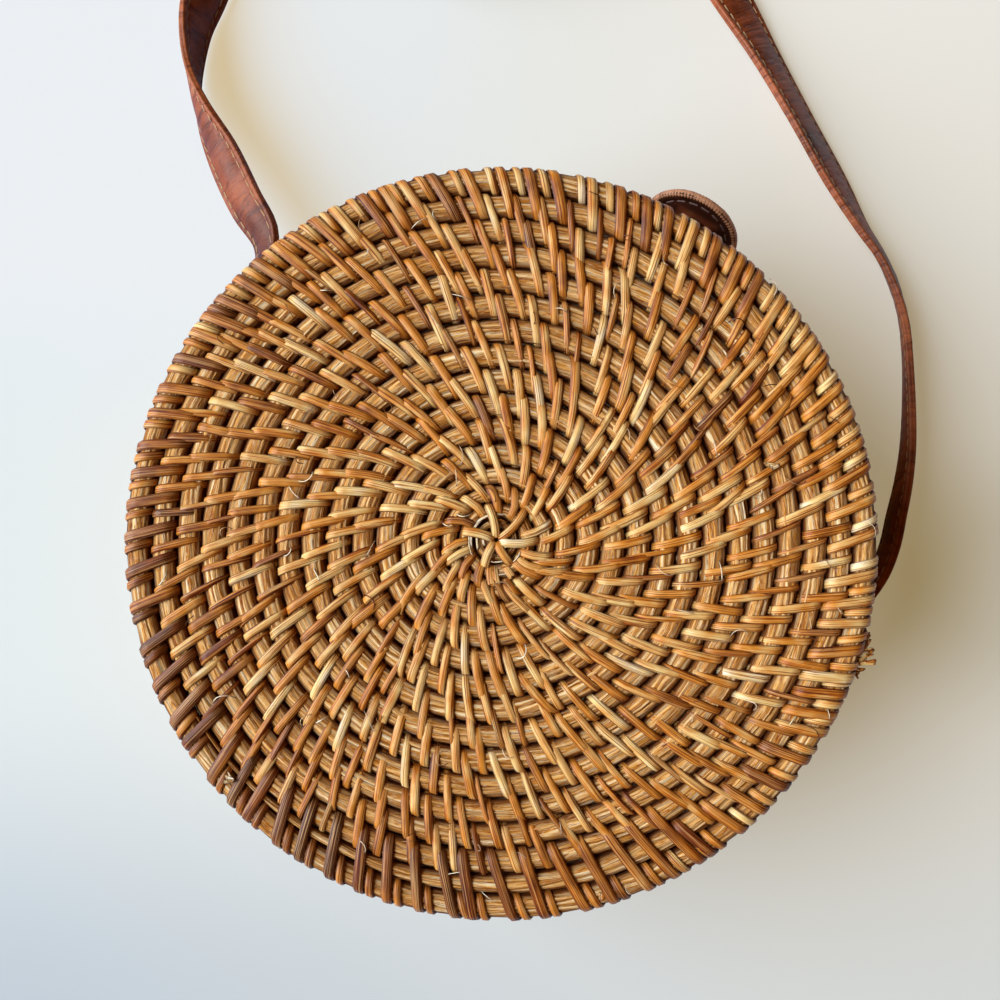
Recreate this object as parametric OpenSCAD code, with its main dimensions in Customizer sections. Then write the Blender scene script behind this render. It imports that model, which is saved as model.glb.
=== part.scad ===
// Round coiled cane bag, lying on its back. The origin is the centre of the back face,
// +Z points to the front face, and the closing tab is on the +Y side.
// Each face is one long coil of straw core round a knot, and so is each side wall.

/* [Bag] */
// Diameter of the bag over the wraps of its rims
bag_diameter = 200; // [180:1:230]
// Depth of the closed bag, from back face to front face
bag_depth = 80; // [74:1:100]
// Gap between the mouth rows of the two trays, which their wraps fill
seam_gap = 1.8; // [1.2:0.1:3]

/* [Coil] */
// Spacing that the coil's rows aim at
row_pitch = 6.6; // [5.8:0.1:8]
// Clear gap between two rows
row_gap = 0.5; // [0.45:0.05:0.8]
// Thickness of the core bundle, through the wall
core_thickness = 4.6; // [3.8:0.1:5.2]
// How far the cane wraps stand proud of the core
wrap_thickness = 0.9; // [0.6:0.1:1.2]
// Radius of the knot that each face starts from
knot_radius = 6.6; // [5:0.1:8]

/* [Rims] */
// Width of a face's outermost row, along the radius
rim_width = 7; // [6:0.1:8]
// Height of a face's outermost row
rim_height = 5.6; // [5.3:0.1:6.5]
// Thickness of the mouth row, along the radius
mouth_thickness = 5; // [4.4:0.1:5.2]
// Height of the mouth row
mouth_height = 6.1; // [5.5:0.1:7]

/* [Lining] */
// Thickness of the cotton lining with its backing
lining_thickness = 0.8; // [0.5:0.1:1.2]
// Clearance round the lining, and of other thin pieces on the wall
lining_clearance = 0.3; // [0.2:0.05:0.4]
// How far the lining stops short of the mouth's edge
lining_stop = 1.5; // [1:0.1:4]

/* [Lid hinge] */
// Radius of the cane rod that the two trays turn on
hinge_rod_radius = 1.5; // [1.2:0.1:2]
// Running clearance of the front loops round the rod
hinge_running_gap = 0.1; // [0.05:0.01:0.3]
// Thickness of a loop round the rod
hinge_loop_thickness = 1.4; // [1.2:0.1:2]
// Width of one loop along the rod
hinge_loop_width = 5; // [4:0.1:6]
// Spacing of the loops, which belong to the back and the front in turn
hinge_loop_spacing = 8; // [7:0.1:9]
// Length of the tail that binds a loop to its wall
hinge_tail_length = 14; // [11:0.5:18]
// Thickness of that tail
hinge_tail_thickness = 1; // [0.8:0.1:1.1]
// Radius of the cane peg that holds the tail in the wall
hinge_peg_radius = 1.2; // [0.8:0.1:1.6]
// Room between the bag's outline and the loops
hinge_room = 0.5; // [0.4:0.1:1.5]

/* [Shoulder strap] */
// Width of the strap
strap_width = 15; // [12:0.5:18]
// Thickness of the folded strap
strap_thickness = 3; // [2.4:0.1:3.2]
// Thickness of the leather patch under each strap end
patch_thickness = 1.6; // [1.2:0.1:1.8]
// Length of that patch round the wall
patch_length = 34; // [28:1:40]
// Height of that patch
patch_height = 22; // [19:0.5:24]
// Angle of each strap end's middle, below the bag's widest line
strap_anchor_angle = 4; // [2:0.5:6]

/* [Rivets] */
// Radius of a rivet's shank
rivet_radius = 1.6; // [1.2:0.1:2]
// Radius of a rivet's head
rivet_head_radius = 3.6; // [3:0.1:4.2]
// Height of a rivet's domed head
rivet_head_height = 1.4; // [1:0.1:2]
// Radius of the upset end of a rivet, inside the bag
rivet_tail_radius = 2.5; // [2.2:0.1:3]
// Spacing of a strap end's two rivets
strap_rivet_spacing = 10; // [9.6:0.1:12]
// Spacing of the tab's two rivets
tab_rivet_spacing = 16; // [12:0.5:18]
// Radius of a rivet's washer
washer_radius = 4.2; // [3.6:0.1:4.3]
// Thickness of a washer, and of a rivet's upset end
washer_thickness = 0.8; // [0.5:0.1:1.2]

/* [Closing tab] */
// Width of the tab
tab_width = 29.5; // [26:0.5:34]
// Length of the free flap, from its bend to its tip
tab_length = 32; // [30:0.5:36]
// Thickness of each of the flap's two leathers
tab_leather = 1.25; // [1:0.05:1.5]
// Height of the bend above the back face
tab_bend_height = 30; // [28:0.5:32]
// Length of the tab below its bend
tab_root_length = 20; // [16:0.5:24]
// How far the flap leans out as it lies unsnapped
tab_lean = 22; // [18:1:30]
// How far the flap still leans out when it is snapped shut
tab_closed_lean = 10; // [9:0.5:12]

/* [Snap] */
// Radius of the stud's head
stud_head_radius = 2.1; // [1.8:0.05:2.2]
// Radius of the stud's neck
stud_neck_radius = 1.6; // [1.2:0.1:1.7]
// How far the stud stands out of its patch
stud_reach = 2.8; // [2.6:0.1:3]
// Height of the stud's head
stud_head_height = 1.4; // [1:0.1:1.6]
// Radius of the leather patch under the stud
stud_patch_radius = 8; // [6:0.5:9]
// Thickness of that patch
stud_patch_thickness = 0.8; // [0.6:0.1:0.9]
// Radius of the socket's bore
socket_bore_radius = 2.6; // [2.55:0.05:3]
// Radius of the socket's flange
socket_radius = 5.5; // [5:0.1:6]
// Thickness of the socket's flange
socket_thickness = 0.8; // [0.6:0.1:0.9]
// Radius of the snap's cap on the outside of the flap
cap_radius = 6; // [5:0.1:7]
// Height of the snap's cap
cap_height = 1.6; // [1.2:0.1:2]

/* [Hidden] */
$fn = 96;

// Sides: front and back trays are the same basket, turned over
bag_radius = bag_diameter / 2;
seam_height = bag_depth / 2;
wall_outer = bag_radius - wrap_thickness;
wall_inner = wall_outer - core_thickness;
rim_inner = bag_radius - rim_width;
mouth_top = seam_height - seam_gap / 2;
mouth_bottom = mouth_top - mouth_height;

// Coil rows: each count is the one that comes nearest to row_pitch
rings_per_row = 24;
face_start = knot_radius + row_gap;
face_rows = round((rim_inner - face_start) / row_pitch);
face_pitch = (rim_inner - face_start) / face_rows;
wall_start = rim_height + row_gap;
wall_rows = round((mouth_bottom - wall_start) / row_pitch);
wall_pitch = (mouth_bottom - wall_start) / wall_rows;
face_angle = 29;
wall_angle = 255;
// Share of a turn in which a coil steps up to its next row
face_step_share = 8 / rings_per_row;
wall_step_share = 4 / rings_per_row;
// Share of that step at which a coil's thin end starts
tail_share = 0.25;
// Outline of the core, as shares of its width across the row and its thickness
core_shares = [[0, 0.5], [0.2, 1], [0.8, 1], [1, 0.5], [0.8, 0], [0.2, 0]];
// Corner cut of the hoops, as a share of their height
hoop_corner_share = 0.28;

// Lining: it fits inside the flats of the many-sided wall
lining_outer = wall_inner * cos(180 / rings_per_row) - lining_clearance;
lining_inner = lining_outer - lining_thickness;
lining_floor = rim_height + lining_clearance;

// Lid hinge
hinge_bore = hinge_rod_radius + hinge_running_gap;
hinge_loop_radius = hinge_bore + hinge_loop_thickness;
hinge_offset = bag_radius + hinge_room + hinge_loop_radius;
hinge_loops = 5;
hinge_rod_length = hinge_loops * hinge_loop_spacing + hinge_loop_width;
hinge_tail_inset = (hinge_loop_thickness - hinge_tail_thickness) / 2;
hinge_peg_height = mouth_bottom - row_gap / 2;
hinge_peg_end = lining_outer + 2 * lining_clearance;

// Rivets go through the gap between two wall rows
rivet_hole = rivet_radius + lining_clearance / 2;
anchor_rows = 2;
anchor_height = wall_start + anchor_rows * wall_pitch - row_gap / 2;
patch_inner = wall_outer + lining_clearance;
strap_seat = patch_inner + patch_thickness + lining_clearance;
washer_seat = lining_inner - lining_clearance;
tab_washer_reach = tab_rivet_spacing / 2 + washer_radius;
tab_washer_seat = sqrt(pow(lining_inner, 2) - pow(tab_washer_reach, 2)) - lining_clearance;

// Closing tab: its bend lies on the leather's outer face
tab_thickness = 2 * tab_leather;
tab_inner = bag_radius + lining_clearance;
tab_bend = tab_inner + tab_thickness;
tab_bend_gap = lining_clearance;

// Snap: the stud stands between the front tray's mouth row and its first wall row
stud_height = bag_depth - mouth_bottom + row_gap / 2;
stud_patch_face = tab_inner + stud_patch_thickness;
socket_sleeve = (socket_bore_radius + stud_patch_thickness) - lining_clearance;
// Place of the snap along the flap, so that it meets the stud when the flap is shut
snap_depth = tab_thickness + socket_thickness / 2;
snap_place = (stud_height - tab_bend_height - snap_depth * sin(tab_closed_lean)) / cos(tab_closed_lean);

// Overrun of every cut
cut = 1;

// Strap: each row is x, y, height and lean. The lean turns its top edge to the left of the way
// that leads from the bag to the roll. Each end starts on the bag's wall.
strap_left = [
    [-101.9, -14.3, 19.3, 0], [-102.6, -7.2, 19.3, 0], [-102.9, 0, 19.3, 0], [-103.3, 7, 19.4, -3],
    [-105.5, 20, 19.6, -12], [-109.5, 32, 19.6, -26], [-115, 42.5, 19.5, -40], [-127, 49, 18, -52],
    [-141.5, 58, 15, -50], [-156, 67, 12, -26], [-167, 77, 9.5, -3], [-175.5, 91.5, 8.2, 22],
    [-179, 103.5, 7, 44], [-181.5, 117, 6.6, 50], [-184.5, 132, 6.8, 44], [-188, 148, 7.4, 30],
    [-191, 163, 7.7, 15], [-193, 178, 7.6, 4]
];
strap_right = [
    [101.9, -14.3, 19.3, 0], [102.6, -7.2, 19.3, 0], [102.9, 0, 19.3, 0], [103.4, 7, 19.4, 0],
    [105.5, 21, 19.5, 0], [108.6, 36, 19.5, 1], [110.3, 51, 19.5, 2], [108.8, 62, 19.3, 3],
    [105.5, 72, 19, 4], [102, 83.5, 17.5, 7], [97, 96, 15.5, 11], [88.5, 112.5, 12.5, 16],
    [79, 128, 10, 20], [70, 138, 8.5, 24], [60, 145.5, 7.8, 28], [49, 151, 7.2, 33],
    [33.5, 160, 6.5, 44], [12.5, 172, 6.4, 46], [-8.5, 184, 5.8, 53], [-30, 196, 4.5, 70],
    [-46, 203, 5, 62], [-61, 206, 6.2, 50], [-75, 204.5, 7.2, 34], [-87, 199, 7.7, 16],
    [-95.5, 191, 7.6, 4]
];
// The rest of the strap lies on edge in a roll of two strands side by side
roll_centre = [-146, 192];
roll_height = 7.5;
roll_radius = 48;
roll_spacing = 14;
roll_angle = 170;
roll_turns = 0.9;
rings_per_turn = 24;
roll_steps = ceil(roll_turns * rings_per_turn);
roll_bend_steps = 8;
// Outline of the strap, as shares of its width and its thickness
strap_shares = [
    [-0.5, -0.25], [-0.42, -0.5], [0.42, -0.5], [0.5, -0.25],
    [0.5, 0.25], [0.42, 0.5], [-0.42, 0.5], [-0.5, 0.25]
];

function at_angle(r, a) = [r * cos(a), r * sin(a)];
function unit(v) = v / norm(v);
function last(list) = len(list) - 1;
function backwards(list) = [for (i = [last(list):-1:0]) [list[i][0], list[i][1], list[i][2], -list[i][3]]];
function slice(list, from, to) = [for (i = [from:to]) list[i]];

// One strand of the roll, wound inwards from angle a
function roll_strand(a) = [
    for (i = [0:roll_steps])
        let (turned = roll_turns * i / roll_steps)
        concat(roll_centre + at_angle(roll_radius - roll_spacing * turned, a - 360 * turned), [roll_height, 0])
];
// The two half circles that join the strands in the middle
inner_radius = roll_radius - roll_spacing * roll_turns;
inner_angle = roll_angle - 360 * roll_turns;
roll_middle = concat(
    [for (i = [1:roll_bend_steps])
        let (turned = 180 * i / roll_bend_steps, place = at_angle(inner_radius / 2, inner_angle))
        concat(roll_centre + place + at_angle(inner_radius / 2, inner_angle - turned), [roll_height, 0])],
    [for (i = [1:roll_bend_steps - 1])
        let (turned = 180 * i / roll_bend_steps, place = at_angle(inner_radius / 2, inner_angle + 180))
        concat(roll_centre + place + at_angle(inner_radius / 2, inner_angle + turned), [roll_height, 0])]
);
roll_path = concat(roll_strand(roll_angle), roll_middle, backwards(roll_strand(roll_angle + 180)));
strap_path = concat(strap_left, roll_path, backwards(strap_right));
roll_first = len(strap_left);
roll_last = roll_first + last(roll_path);

function place_of(row) = [row[0], row[1], row[2]];
function heading(path, i) = unit(place_of(path[min(i + 1, last(path))]) - place_of(path[max(i - 1, 0)]));
// Corners of the strap's outline at one row of its path
function strap_ring(path, i) =
    let (ahead = heading(path, i), left = unit([-ahead[1], ahead[0], 0]), up = cross(ahead, left),
         lean = path[i][3], wide = up * cos(lean) + left * sin(lean), thick = left * cos(lean) - up * sin(lean))
    [for (s = strap_shares) place_of(path[i]) + s[0] * strap_width * wide + s[1] * strap_thickness * thick];

strap_length = [for (i = [0:last(strap_path) - 1]) norm(place_of(strap_path[i + 1]) - place_of(strap_path[i]))]
    * [for (i = [0:last(strap_path) - 1]) 1];
roll_gap = min([for (i = [0:last(roll_path)]) for (j = [i + roll_bend_steps:1:last(roll_path)])
    norm(place_of(roll_path[i]) - place_of(roll_path[j]))]) - strap_thickness;
echo(strap_length = strap_length, roll_gap = roll_gap);

// Rows climbed after so many turns: flat rows, joined by a smooth step at the start of each turn
function smooth(t) = t * t * (3 - 2 * t);
function climbed(turns, step) = floor(turns) - 1 + smooth(min(1, (turns - floor(turns)) / step));
// Lower and upper edge of a coil, which ends in a thin tail against the hoop beside it
function row_low(turns, start, pitch, step) = max(start, start + pitch * climbed(turns, step));
function row_high(turns, start, pitch, step, rows) =
    min(start + rows * pitch - row_gap, start + pitch * (climbed(turns, step) + 1) - row_gap);
function coil_turns(rows, step) =
    [for (i = [tail_share * step * rings_per_row:(rows + step * (1 - tail_share)) * rings_per_row]) i / rings_per_row];
function coil_gap(rows, pitch, step) = min([for (t = coil_turns(rows - 1, step))
    row_low(t + 1, 0, pitch, step) - row_high(t, 0, pitch, step, rows)]);
echo(face_coil_gap = coil_gap(face_rows, face_pitch, face_step_share),
     wall_coil_gap = coil_gap(wall_rows, wall_pitch, wall_step_share));

// A tube through rings of corners, closed at both ends
module tube(rings) {
    sides = len(rings[0]);
    ends = last(rings) * sides;
    polyhedron(
        points = [for (ring = rings) for (corner = ring) corner],
        faces = concat(
            [for (i = [0:last(rings) - 1]) for (j = [0:sides - 1]) let (k = (j + 1) % sides)
                [i * sides + j, (i + 1) * sides + j, (i + 1) * sides + k]],
            [for (i = [0:last(rings) - 1]) for (j = [0:sides - 1]) let (k = (j + 1) % sides)
                [i * sides + j, (i + 1) * sides + k, i * sides + k]],
            [for (j = [1:sides - 2]) [0, j, j + 1]],
            [for (j = [1:sides - 2]) [ends, ends + j + 1, ends + j]]
        )
    );
}

module face_coil() {
    low = rim_height - core_thickness;
    tube([for (t = coil_turns(face_rows, face_step_share))
        let (inner = row_low(t, face_start, face_pitch, face_step_share),
             outer = row_high(t, face_start, face_pitch, face_step_share, face_rows))
        [for (s = core_shares)
            concat(at_angle(inner + (outer - inner) * s[0], face_angle + 360 * t), [low + core_thickness * s[1]])]]);
}

module wall_coil() {
    tube([for (t = coil_turns(wall_rows, wall_step_share))
        let (low = row_low(t, wall_start, wall_pitch, wall_step_share),
             high = row_high(t, wall_start, wall_pitch, wall_step_share, wall_rows))
        [for (i = [last(core_shares):-1:0]) let (s = core_shares[i])
            concat(at_angle(wall_inner + core_thickness * s[1], wall_angle + 360 * t), [low + (high - low) * s[0]])]]);
}

// A ring with cut corners
module hoop(inner, outer, low, high) {
    corner = (high - low) * hoop_corner_share;
    rotate_extrude()
        polygon([
            [inner + corner, low], [outer - corner, low], [outer, low + corner], [outer, high - corner],
            [outer - corner, high], [inner + corner, high], [inner, high - corner], [inner, low + corner]
        ]);
}

module centre_knot() {
    corner = rim_height * hoop_corner_share;
    rotate_extrude()
        polygon([
            [0, 0], [knot_radius - corner, 0], [knot_radius, corner],
            [knot_radius, rim_height - corner], [knot_radius - corner, rim_height], [0, rim_height]
        ]);
}

module rim_hoop() hoop(rim_inner, bag_radius, 0, rim_height);

module mouth_hoop() hoop(wall_outer - mouth_thickness, wall_outer, mouth_bottom, mouth_top);

module lining_base() {
    translate([0, 0, lining_floor])
        cylinder(r = lining_inner - lining_clearance, h = lining_thickness);
}

module lining_band() {
    translate([0, 0, lining_floor])
        difference() {
            cylinder(r = lining_outer, h = mouth_top - lining_stop - lining_floor);
            translate([0, 0, -cut])
                cylinder(r = lining_inner, h = mouth_top + cut);
        }
}

// Turns a piece of the back tray into the same piece of the front tray
module as_front() {
    translate([0, 0, bag_depth])
        rotate([180, 0, 0])
            children();
}

// Lays a piece that stands along +Z so that it points out of the wall, at an angle round the bag
module out_of_wall(angle, height) {
    translate([0, 0, height])
        rotate([0, 0, angle])
            rotate([0, 90, 0])
                children();
}

// A piece that points to +Y, at a place across the bag
module out_of_top(across, height) {
    translate([across, 0, height])
        rotate([-90, 0, 0])
            children();
}

// A rivet along +Z: upset end, shank and domed head
module rivet(washer_face, head_seat) {
    dome = (pow(rivet_head_radius, 2) + pow(rivet_head_height, 2)) / (2 * rivet_head_height);
    translate([0, 0, washer_face - washer_thickness])
        cylinder(r = rivet_tail_radius, h = washer_thickness);
    translate([0, 0, washer_face - washer_thickness / 2])
        cylinder(r = rivet_radius, h = head_seat + rivet_head_height / 2 - washer_face + washer_thickness / 2);
    intersection() {
        translate([0, 0, head_seat + rivet_head_height - dome])
            sphere(r = dome);
        translate([0, 0, head_seat])
            cylinder(r = rivet_head_radius + cut, h = rivet_head_height + cut);
    }
}

module washer(face) {
    translate([0, 0, face])
        difference() {
            cylinder(r = washer_radius, h = washer_thickness);
            translate([0, 0, -cut])
                cylinder(r = rivet_hole, h = washer_thickness + 2 * cut);
        }
}

// Angles of the two rivets of a strap end, for side 1 on the right or -1 on the left
function anchor_middle(side) = side > 0 ? -strap_anchor_angle : 180 + strap_anchor_angle;
function rivet_angles(side) =
    let (half = strap_rivet_spacing / 2 / strap_seat * 180 / PI) [anchor_middle(side) - half, anchor_middle(side) + half];

module strap_holes(side) {
    for (angle = rivet_angles(side))
        out_of_wall(angle, anchor_height)
            cylinder(r = rivet_hole, h = bag_diameter);
}

module tab_holes() {
    for (side = [-1, 1])
        out_of_top(side * tab_rivet_spacing / 2, anchor_height)
            cylinder(r = rivet_hole, h = bag_diameter);
}

module strap_patch(side) {
    span = patch_length / patch_inner * 180 / PI;
    difference() {
        rotate([0, 0, anchor_middle(side) - span / 2])
            rotate_extrude(angle = span)
                translate([patch_inner, anchor_height - patch_height / 2])
                    square([patch_thickness, patch_height]);
        strap_holes(side);
    }
}

module strap_rivets(side) {
    for (angle = rivet_angles(side))
        out_of_wall(angle, anchor_height)
            rivet(washer_seat - washer_thickness, strap_seat + strap_thickness);
}

module strap_washers(side) {
    for (angle = rivet_angles(side))
        out_of_wall(angle, anchor_height)
            washer(washer_seat - washer_thickness);
}

module strap_part(from, to) {
    tube([for (i = [from:to]) strap_ring(strap_path, i)]);
}

// One hinge loop with its tail down the wall and its peg through the wall
module hinge_loop(across, bore) {
    tail_face = hinge_offset - hinge_loop_radius + hinge_tail_inset;
    difference() {
        union() {
            translate([across - hinge_loop_width / 2, -hinge_offset, seam_height])
                rotate([0, 90, 0])
                    cylinder(r = hinge_loop_radius, h = hinge_loop_width);
            translate([across - hinge_loop_width / 2, -tail_face - hinge_tail_thickness, seam_height - hinge_tail_length])
                cube([hinge_loop_width, hinge_tail_thickness, hinge_tail_length]);
            translate([across, -tail_face - hinge_tail_thickness / 2, hinge_peg_height])
                rotate([-90, 0, 0])
                    cylinder(r = hinge_peg_radius, h = tail_face + hinge_tail_thickness / 2 - hinge_peg_end);
        }
        translate([across - hinge_loop_width, -hinge_offset, seam_height])
            rotate([0, 90, 0])
                cylinder(r = bore, h = 2 * hinge_loop_width);
    }
}

// The flap lies in its own frame, with its bend at the origin and its tip along +Z
module on_flap() {
    translate([0, tab_bend, tab_bend_height])
        rotate([-tab_lean, 0, 0])
            children();
}

module at_snap(depth) {
    translate([0, depth, snap_place])
        rotate([-90, 0, 0])
            children();
}

module flap_sheet(depth, hole) {
    tip = tab_width / 2;
    difference() {
        translate([0, depth, 0])
            rotate([90, 0, 0])
                linear_extrude(tab_leather)
                    union() {
                        translate([-tip, tab_bend_gap])
                            square([tab_width, tab_length - tip - tab_bend_gap]);
                        translate([0, tab_length - tip])
                            circle(r = tip);
                    }
        at_snap(depth - tab_leather - cut)
            cylinder(r = hole, h = tab_leather + 2 * cut);
    }
}

module back_centre_knot() color("#c98f3e") centre_knot();
module back_face_coil() color("#d9b777") face_coil();
module back_rim_hoop() color("#b9782f") rim_hoop();
module back_wall_coil() color("#d9b777") wall_coil();
module back_mouth_hoop() color("#b9782f") mouth_hoop();
module back_lining_base() color("#e8dcc4") lining_base();
module back_lining_band() {
    color("#e8dcc4")
        difference() {
            lining_band();
            strap_holes(1);
            strap_holes(-1);
            tab_holes();
        }
}
module hinge_rod() {
    color("#a5672a")
        translate([-hinge_rod_length / 2, -hinge_offset, seam_height])
            rotate([0, 90, 0])
                cylinder(r = hinge_rod_radius, h = hinge_rod_length);
}
module hinge_loops_back() {
    color("#b9782f")
        for (i = [0:2:hinge_loops - 1])
            hinge_loop((i - (hinge_loops - 1) / 2) * hinge_loop_spacing, hinge_rod_radius);
}
module strap_patch_left() color("#6e3a2b") strap_patch(-1);
module strap_patch_right() color("#6e3a2b") strap_patch(1);
module strap_rivets_left() color("#b08d57") strap_rivets(-1);
module strap_rivets_right() color("#b08d57") strap_rivets(1);
module strap_washers_left() color("#b08d57") strap_washers(-1);
module strap_washers_right() color("#b08d57") strap_washers(1);
module strap_run_left() color("#7a4535") strap_part(0, roll_first);
module strap_roll() color("#7a4535") strap_part(roll_first, roll_last);
module strap_run_right() color("#7a4535") strap_part(roll_last, last(strap_path));
module tab_root() {
    color("#6e3a2b")
        difference() {
            translate([-tab_width / 2, tab_inner, tab_bend_height - tab_bend_gap - tab_root_length])
                cube([tab_width, tab_thickness, tab_root_length]);
            tab_holes();
        }
}
module tab_rivets() {
    color("#b08d57")
        for (side = [-1, 1])
            out_of_top(side * tab_rivet_spacing / 2, anchor_height)
                rivet(tab_washer_seat - washer_thickness, tab_bend);
}
module tab_washers() {
    color("#b08d57")
        for (side = [-1, 1])
            out_of_top(side * tab_rivet_spacing / 2, anchor_height)
                washer(tab_washer_seat - washer_thickness);
}
module front_centre_knot() color("#c98f3e") as_front() centre_knot();
module front_face_coil() color("#d9b777") as_front() face_coil();
module front_rim_hoop() color("#b9782f") as_front() rim_hoop();
module front_wall_coil() color("#d9b777") as_front() wall_coil();
module front_mouth_hoop() color("#b9782f") as_front() mouth_hoop();
module front_lining_base() color("#e8dcc4") as_front() lining_base();
module front_lining_band() {
    color("#e8dcc4")
        difference() {
            as_front()
                lining_band();
            out_of_top(0, stud_height)
                cylinder(r = rivet_hole, h = bag_diameter);
        }
}
module hinge_loops_front() {
    color("#b9782f")
        translate([0, 0, bag_depth])
            mirror([0, 0, 1])
                for (i = [1:2:hinge_loops - 1])
                    hinge_loop((i - (hinge_loops - 1) / 2) * hinge_loop_spacing, hinge_bore);
}
module snap_stud() {
    reach = stud_patch_face + stud_reach;
    bevel = stud_head_radius - stud_neck_radius;
    color("#b08d57")
        out_of_top(0, stud_height)
            rotate_extrude()
                polygon([
                    [0, washer_seat - 2 * washer_thickness], [rivet_tail_radius, washer_seat - 2 * washer_thickness],
                    [rivet_tail_radius, washer_seat - washer_thickness],
                    [stud_neck_radius, washer_seat - washer_thickness],
                    [stud_neck_radius, reach - stud_head_height], [stud_head_radius, reach - stud_head_height + bevel],
                    [stud_head_radius, reach - bevel], [stud_neck_radius, reach], [0, reach]
                ]);
}
module stud_patch() {
    color("#6e3a2b")
        out_of_top(0, stud_height)
            difference() {
                translate([0, 0, tab_inner])
                    cylinder(r = stud_patch_radius, h = stud_patch_thickness);
                cylinder(r = rivet_hole, h = bag_diameter);
            }
}
module stud_washer() {
    color("#b08d57")
        out_of_top(0, stud_height)
            washer(washer_seat - washer_thickness);
}
module flap_leather_outer() color("#7a4535") on_flap() flap_sheet(0, rivet_hole);
module flap_leather_inner() color("#4a2118") on_flap() flap_sheet(-tab_leather, socket_sleeve + lining_clearance / 2);
module snap_cap() {
    dome = (pow(cap_radius, 2) + pow(cap_height, 2)) / (2 * cap_height);
    color("#b08d57")
        on_flap()
            at_snap(0) {
                translate([0, 0, -tab_leather])
                    cylinder(r = rivet_radius, h = tab_leather + cap_height / 2);
                intersection() {
                    translate([0, 0, cap_height - dome])
                        sphere(r = dome);
                    cylinder(r = cap_radius + cut, h = cap_height + cut);
                }
            }
}
module snap_socket() {
    color("#b08d57")
        on_flap()
            at_snap(-tab_thickness)
                difference() {
                    union() {
                        translate([0, 0, -socket_thickness])
                            cylinder(r = socket_radius, h = socket_thickness);
                        translate([0, 0, -socket_thickness / 2])
                            cylinder(r = socket_sleeve, h = tab_leather + socket_thickness / 2 - lining_clearance / 2);
                    }
                    translate([0, 0, -socket_thickness - cut])
                        cylinder(r = socket_bore_radius, h = tab_thickness + socket_thickness + 2 * cut);
                }
}

back_centre_knot();
back_face_coil();
back_rim_hoop();
back_wall_coil();
back_mouth_hoop();
back_lining_base();
back_lining_band();
hinge_rod();
hinge_loops_back();
strap_patch_left();
strap_patch_right();
strap_rivets_left();
strap_rivets_right();
strap_washers_left();
strap_washers_right();
strap_run_left();
strap_roll();
strap_run_right();
tab_root();
tab_rivets();
tab_washers();
front_centre_knot();
front_face_coil();
front_rim_hoop();
front_wall_coil();
front_mouth_hoop();
front_lining_base();
front_lining_band();
hinge_loops_front();
snap_stud();
stud_patch();
stud_washer();
flap_leather_outer();
flap_leather_inner();
snap_cap();
snap_socket();
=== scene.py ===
# Round coiled cane bag with a leather shoulder strap and a snap tab, dressed over its CAD frame
import math

import bpy
import numpy as np
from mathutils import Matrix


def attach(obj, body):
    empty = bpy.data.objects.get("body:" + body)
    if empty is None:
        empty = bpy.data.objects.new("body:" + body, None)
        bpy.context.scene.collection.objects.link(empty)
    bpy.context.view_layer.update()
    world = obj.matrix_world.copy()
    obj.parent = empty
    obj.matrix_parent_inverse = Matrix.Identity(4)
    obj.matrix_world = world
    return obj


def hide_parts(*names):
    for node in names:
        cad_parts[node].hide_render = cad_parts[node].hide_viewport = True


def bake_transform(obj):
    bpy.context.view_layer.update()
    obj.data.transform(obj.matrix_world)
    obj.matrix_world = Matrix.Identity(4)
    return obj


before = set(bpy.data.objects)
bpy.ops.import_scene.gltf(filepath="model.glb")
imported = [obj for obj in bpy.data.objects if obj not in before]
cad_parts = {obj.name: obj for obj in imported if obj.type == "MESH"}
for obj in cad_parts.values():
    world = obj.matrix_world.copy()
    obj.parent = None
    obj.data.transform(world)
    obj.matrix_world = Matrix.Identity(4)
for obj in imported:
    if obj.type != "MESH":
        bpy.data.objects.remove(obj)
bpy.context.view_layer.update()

mm = .001  # every size in the dictionaries is in millimetres

# The bag's own sizes, which the pieces share
bag = {
    "radius": 100,       # over the rim wraps
    "depth": 80,
    "core": 4.6,         # thickness of the straw core
    "wrap": .9,          # how deep the core lies under the wraps
    "rowGap": .5,
    "knot": 6.6,         # radius of the middle knot
    "rimInner": 93,      # where the face rows end
    "rimHeight": 5.6,
    "rimMiddle": 96.05,
    "rimCentre": 3.25,   # height of the rim's middle
    "rimHalfWidth": 3.05,
    "rimHalfThick": 2.35,
    "faceRows": 13,
    "faceAngle": 29,     # where the face coil starts
    "faceStep": 8 / 24,  # share of a turn in which it climbs a row
    "wallRows": 4,
    "wallAngle": 255,
    "wallStep": 4 / 24,
    "mouthBottom": 33,
    "mouthTop": 39.1,
    "mouthThickness": 5,
    "tail": .25,         # share of the step at which a coil's thin end starts
    "aside": -1.74,      # the knot lies off the middle, as in the photograph
    "asideReach": 24,
}
bag["faceStart"] = bag["knot"] + bag["rowGap"]
bag["facePitch"] = (bag["rimInner"] - bag["faceStart"]) / bag["faceRows"]
bag["wallStart"] = bag["rimHeight"] + bag["rowGap"]
bag["wallPitch"] = (bag["mouthBottom"] - bag["wallStart"]) / bag["wallRows"]
bag["wallOuter"] = bag["radius"] - bag["wrap"]
bag["mouthMiddle"] = (bag["mouthBottom"] + bag["mouthTop"]) / 2
bag["mouthHalf"] = (bag["mouthTop"] - bag["mouthBottom"]) / 2
faceCoil = (bag["faceStart"], bag["facePitch"], bag["faceStep"])
wallCoil = (bag["wallStart"], bag["wallPitch"], bag["wallStep"])

# The front tray is the back tray turned over, so one set of functions makes both
backTray = {"name": "back", "body": "back_tray", "flip": 1, "seed": 11}
frontTray = {"name": "front", "body": "front_tray", "flip": -1, "seed": 5}

fullTurn = 2 * math.pi


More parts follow.
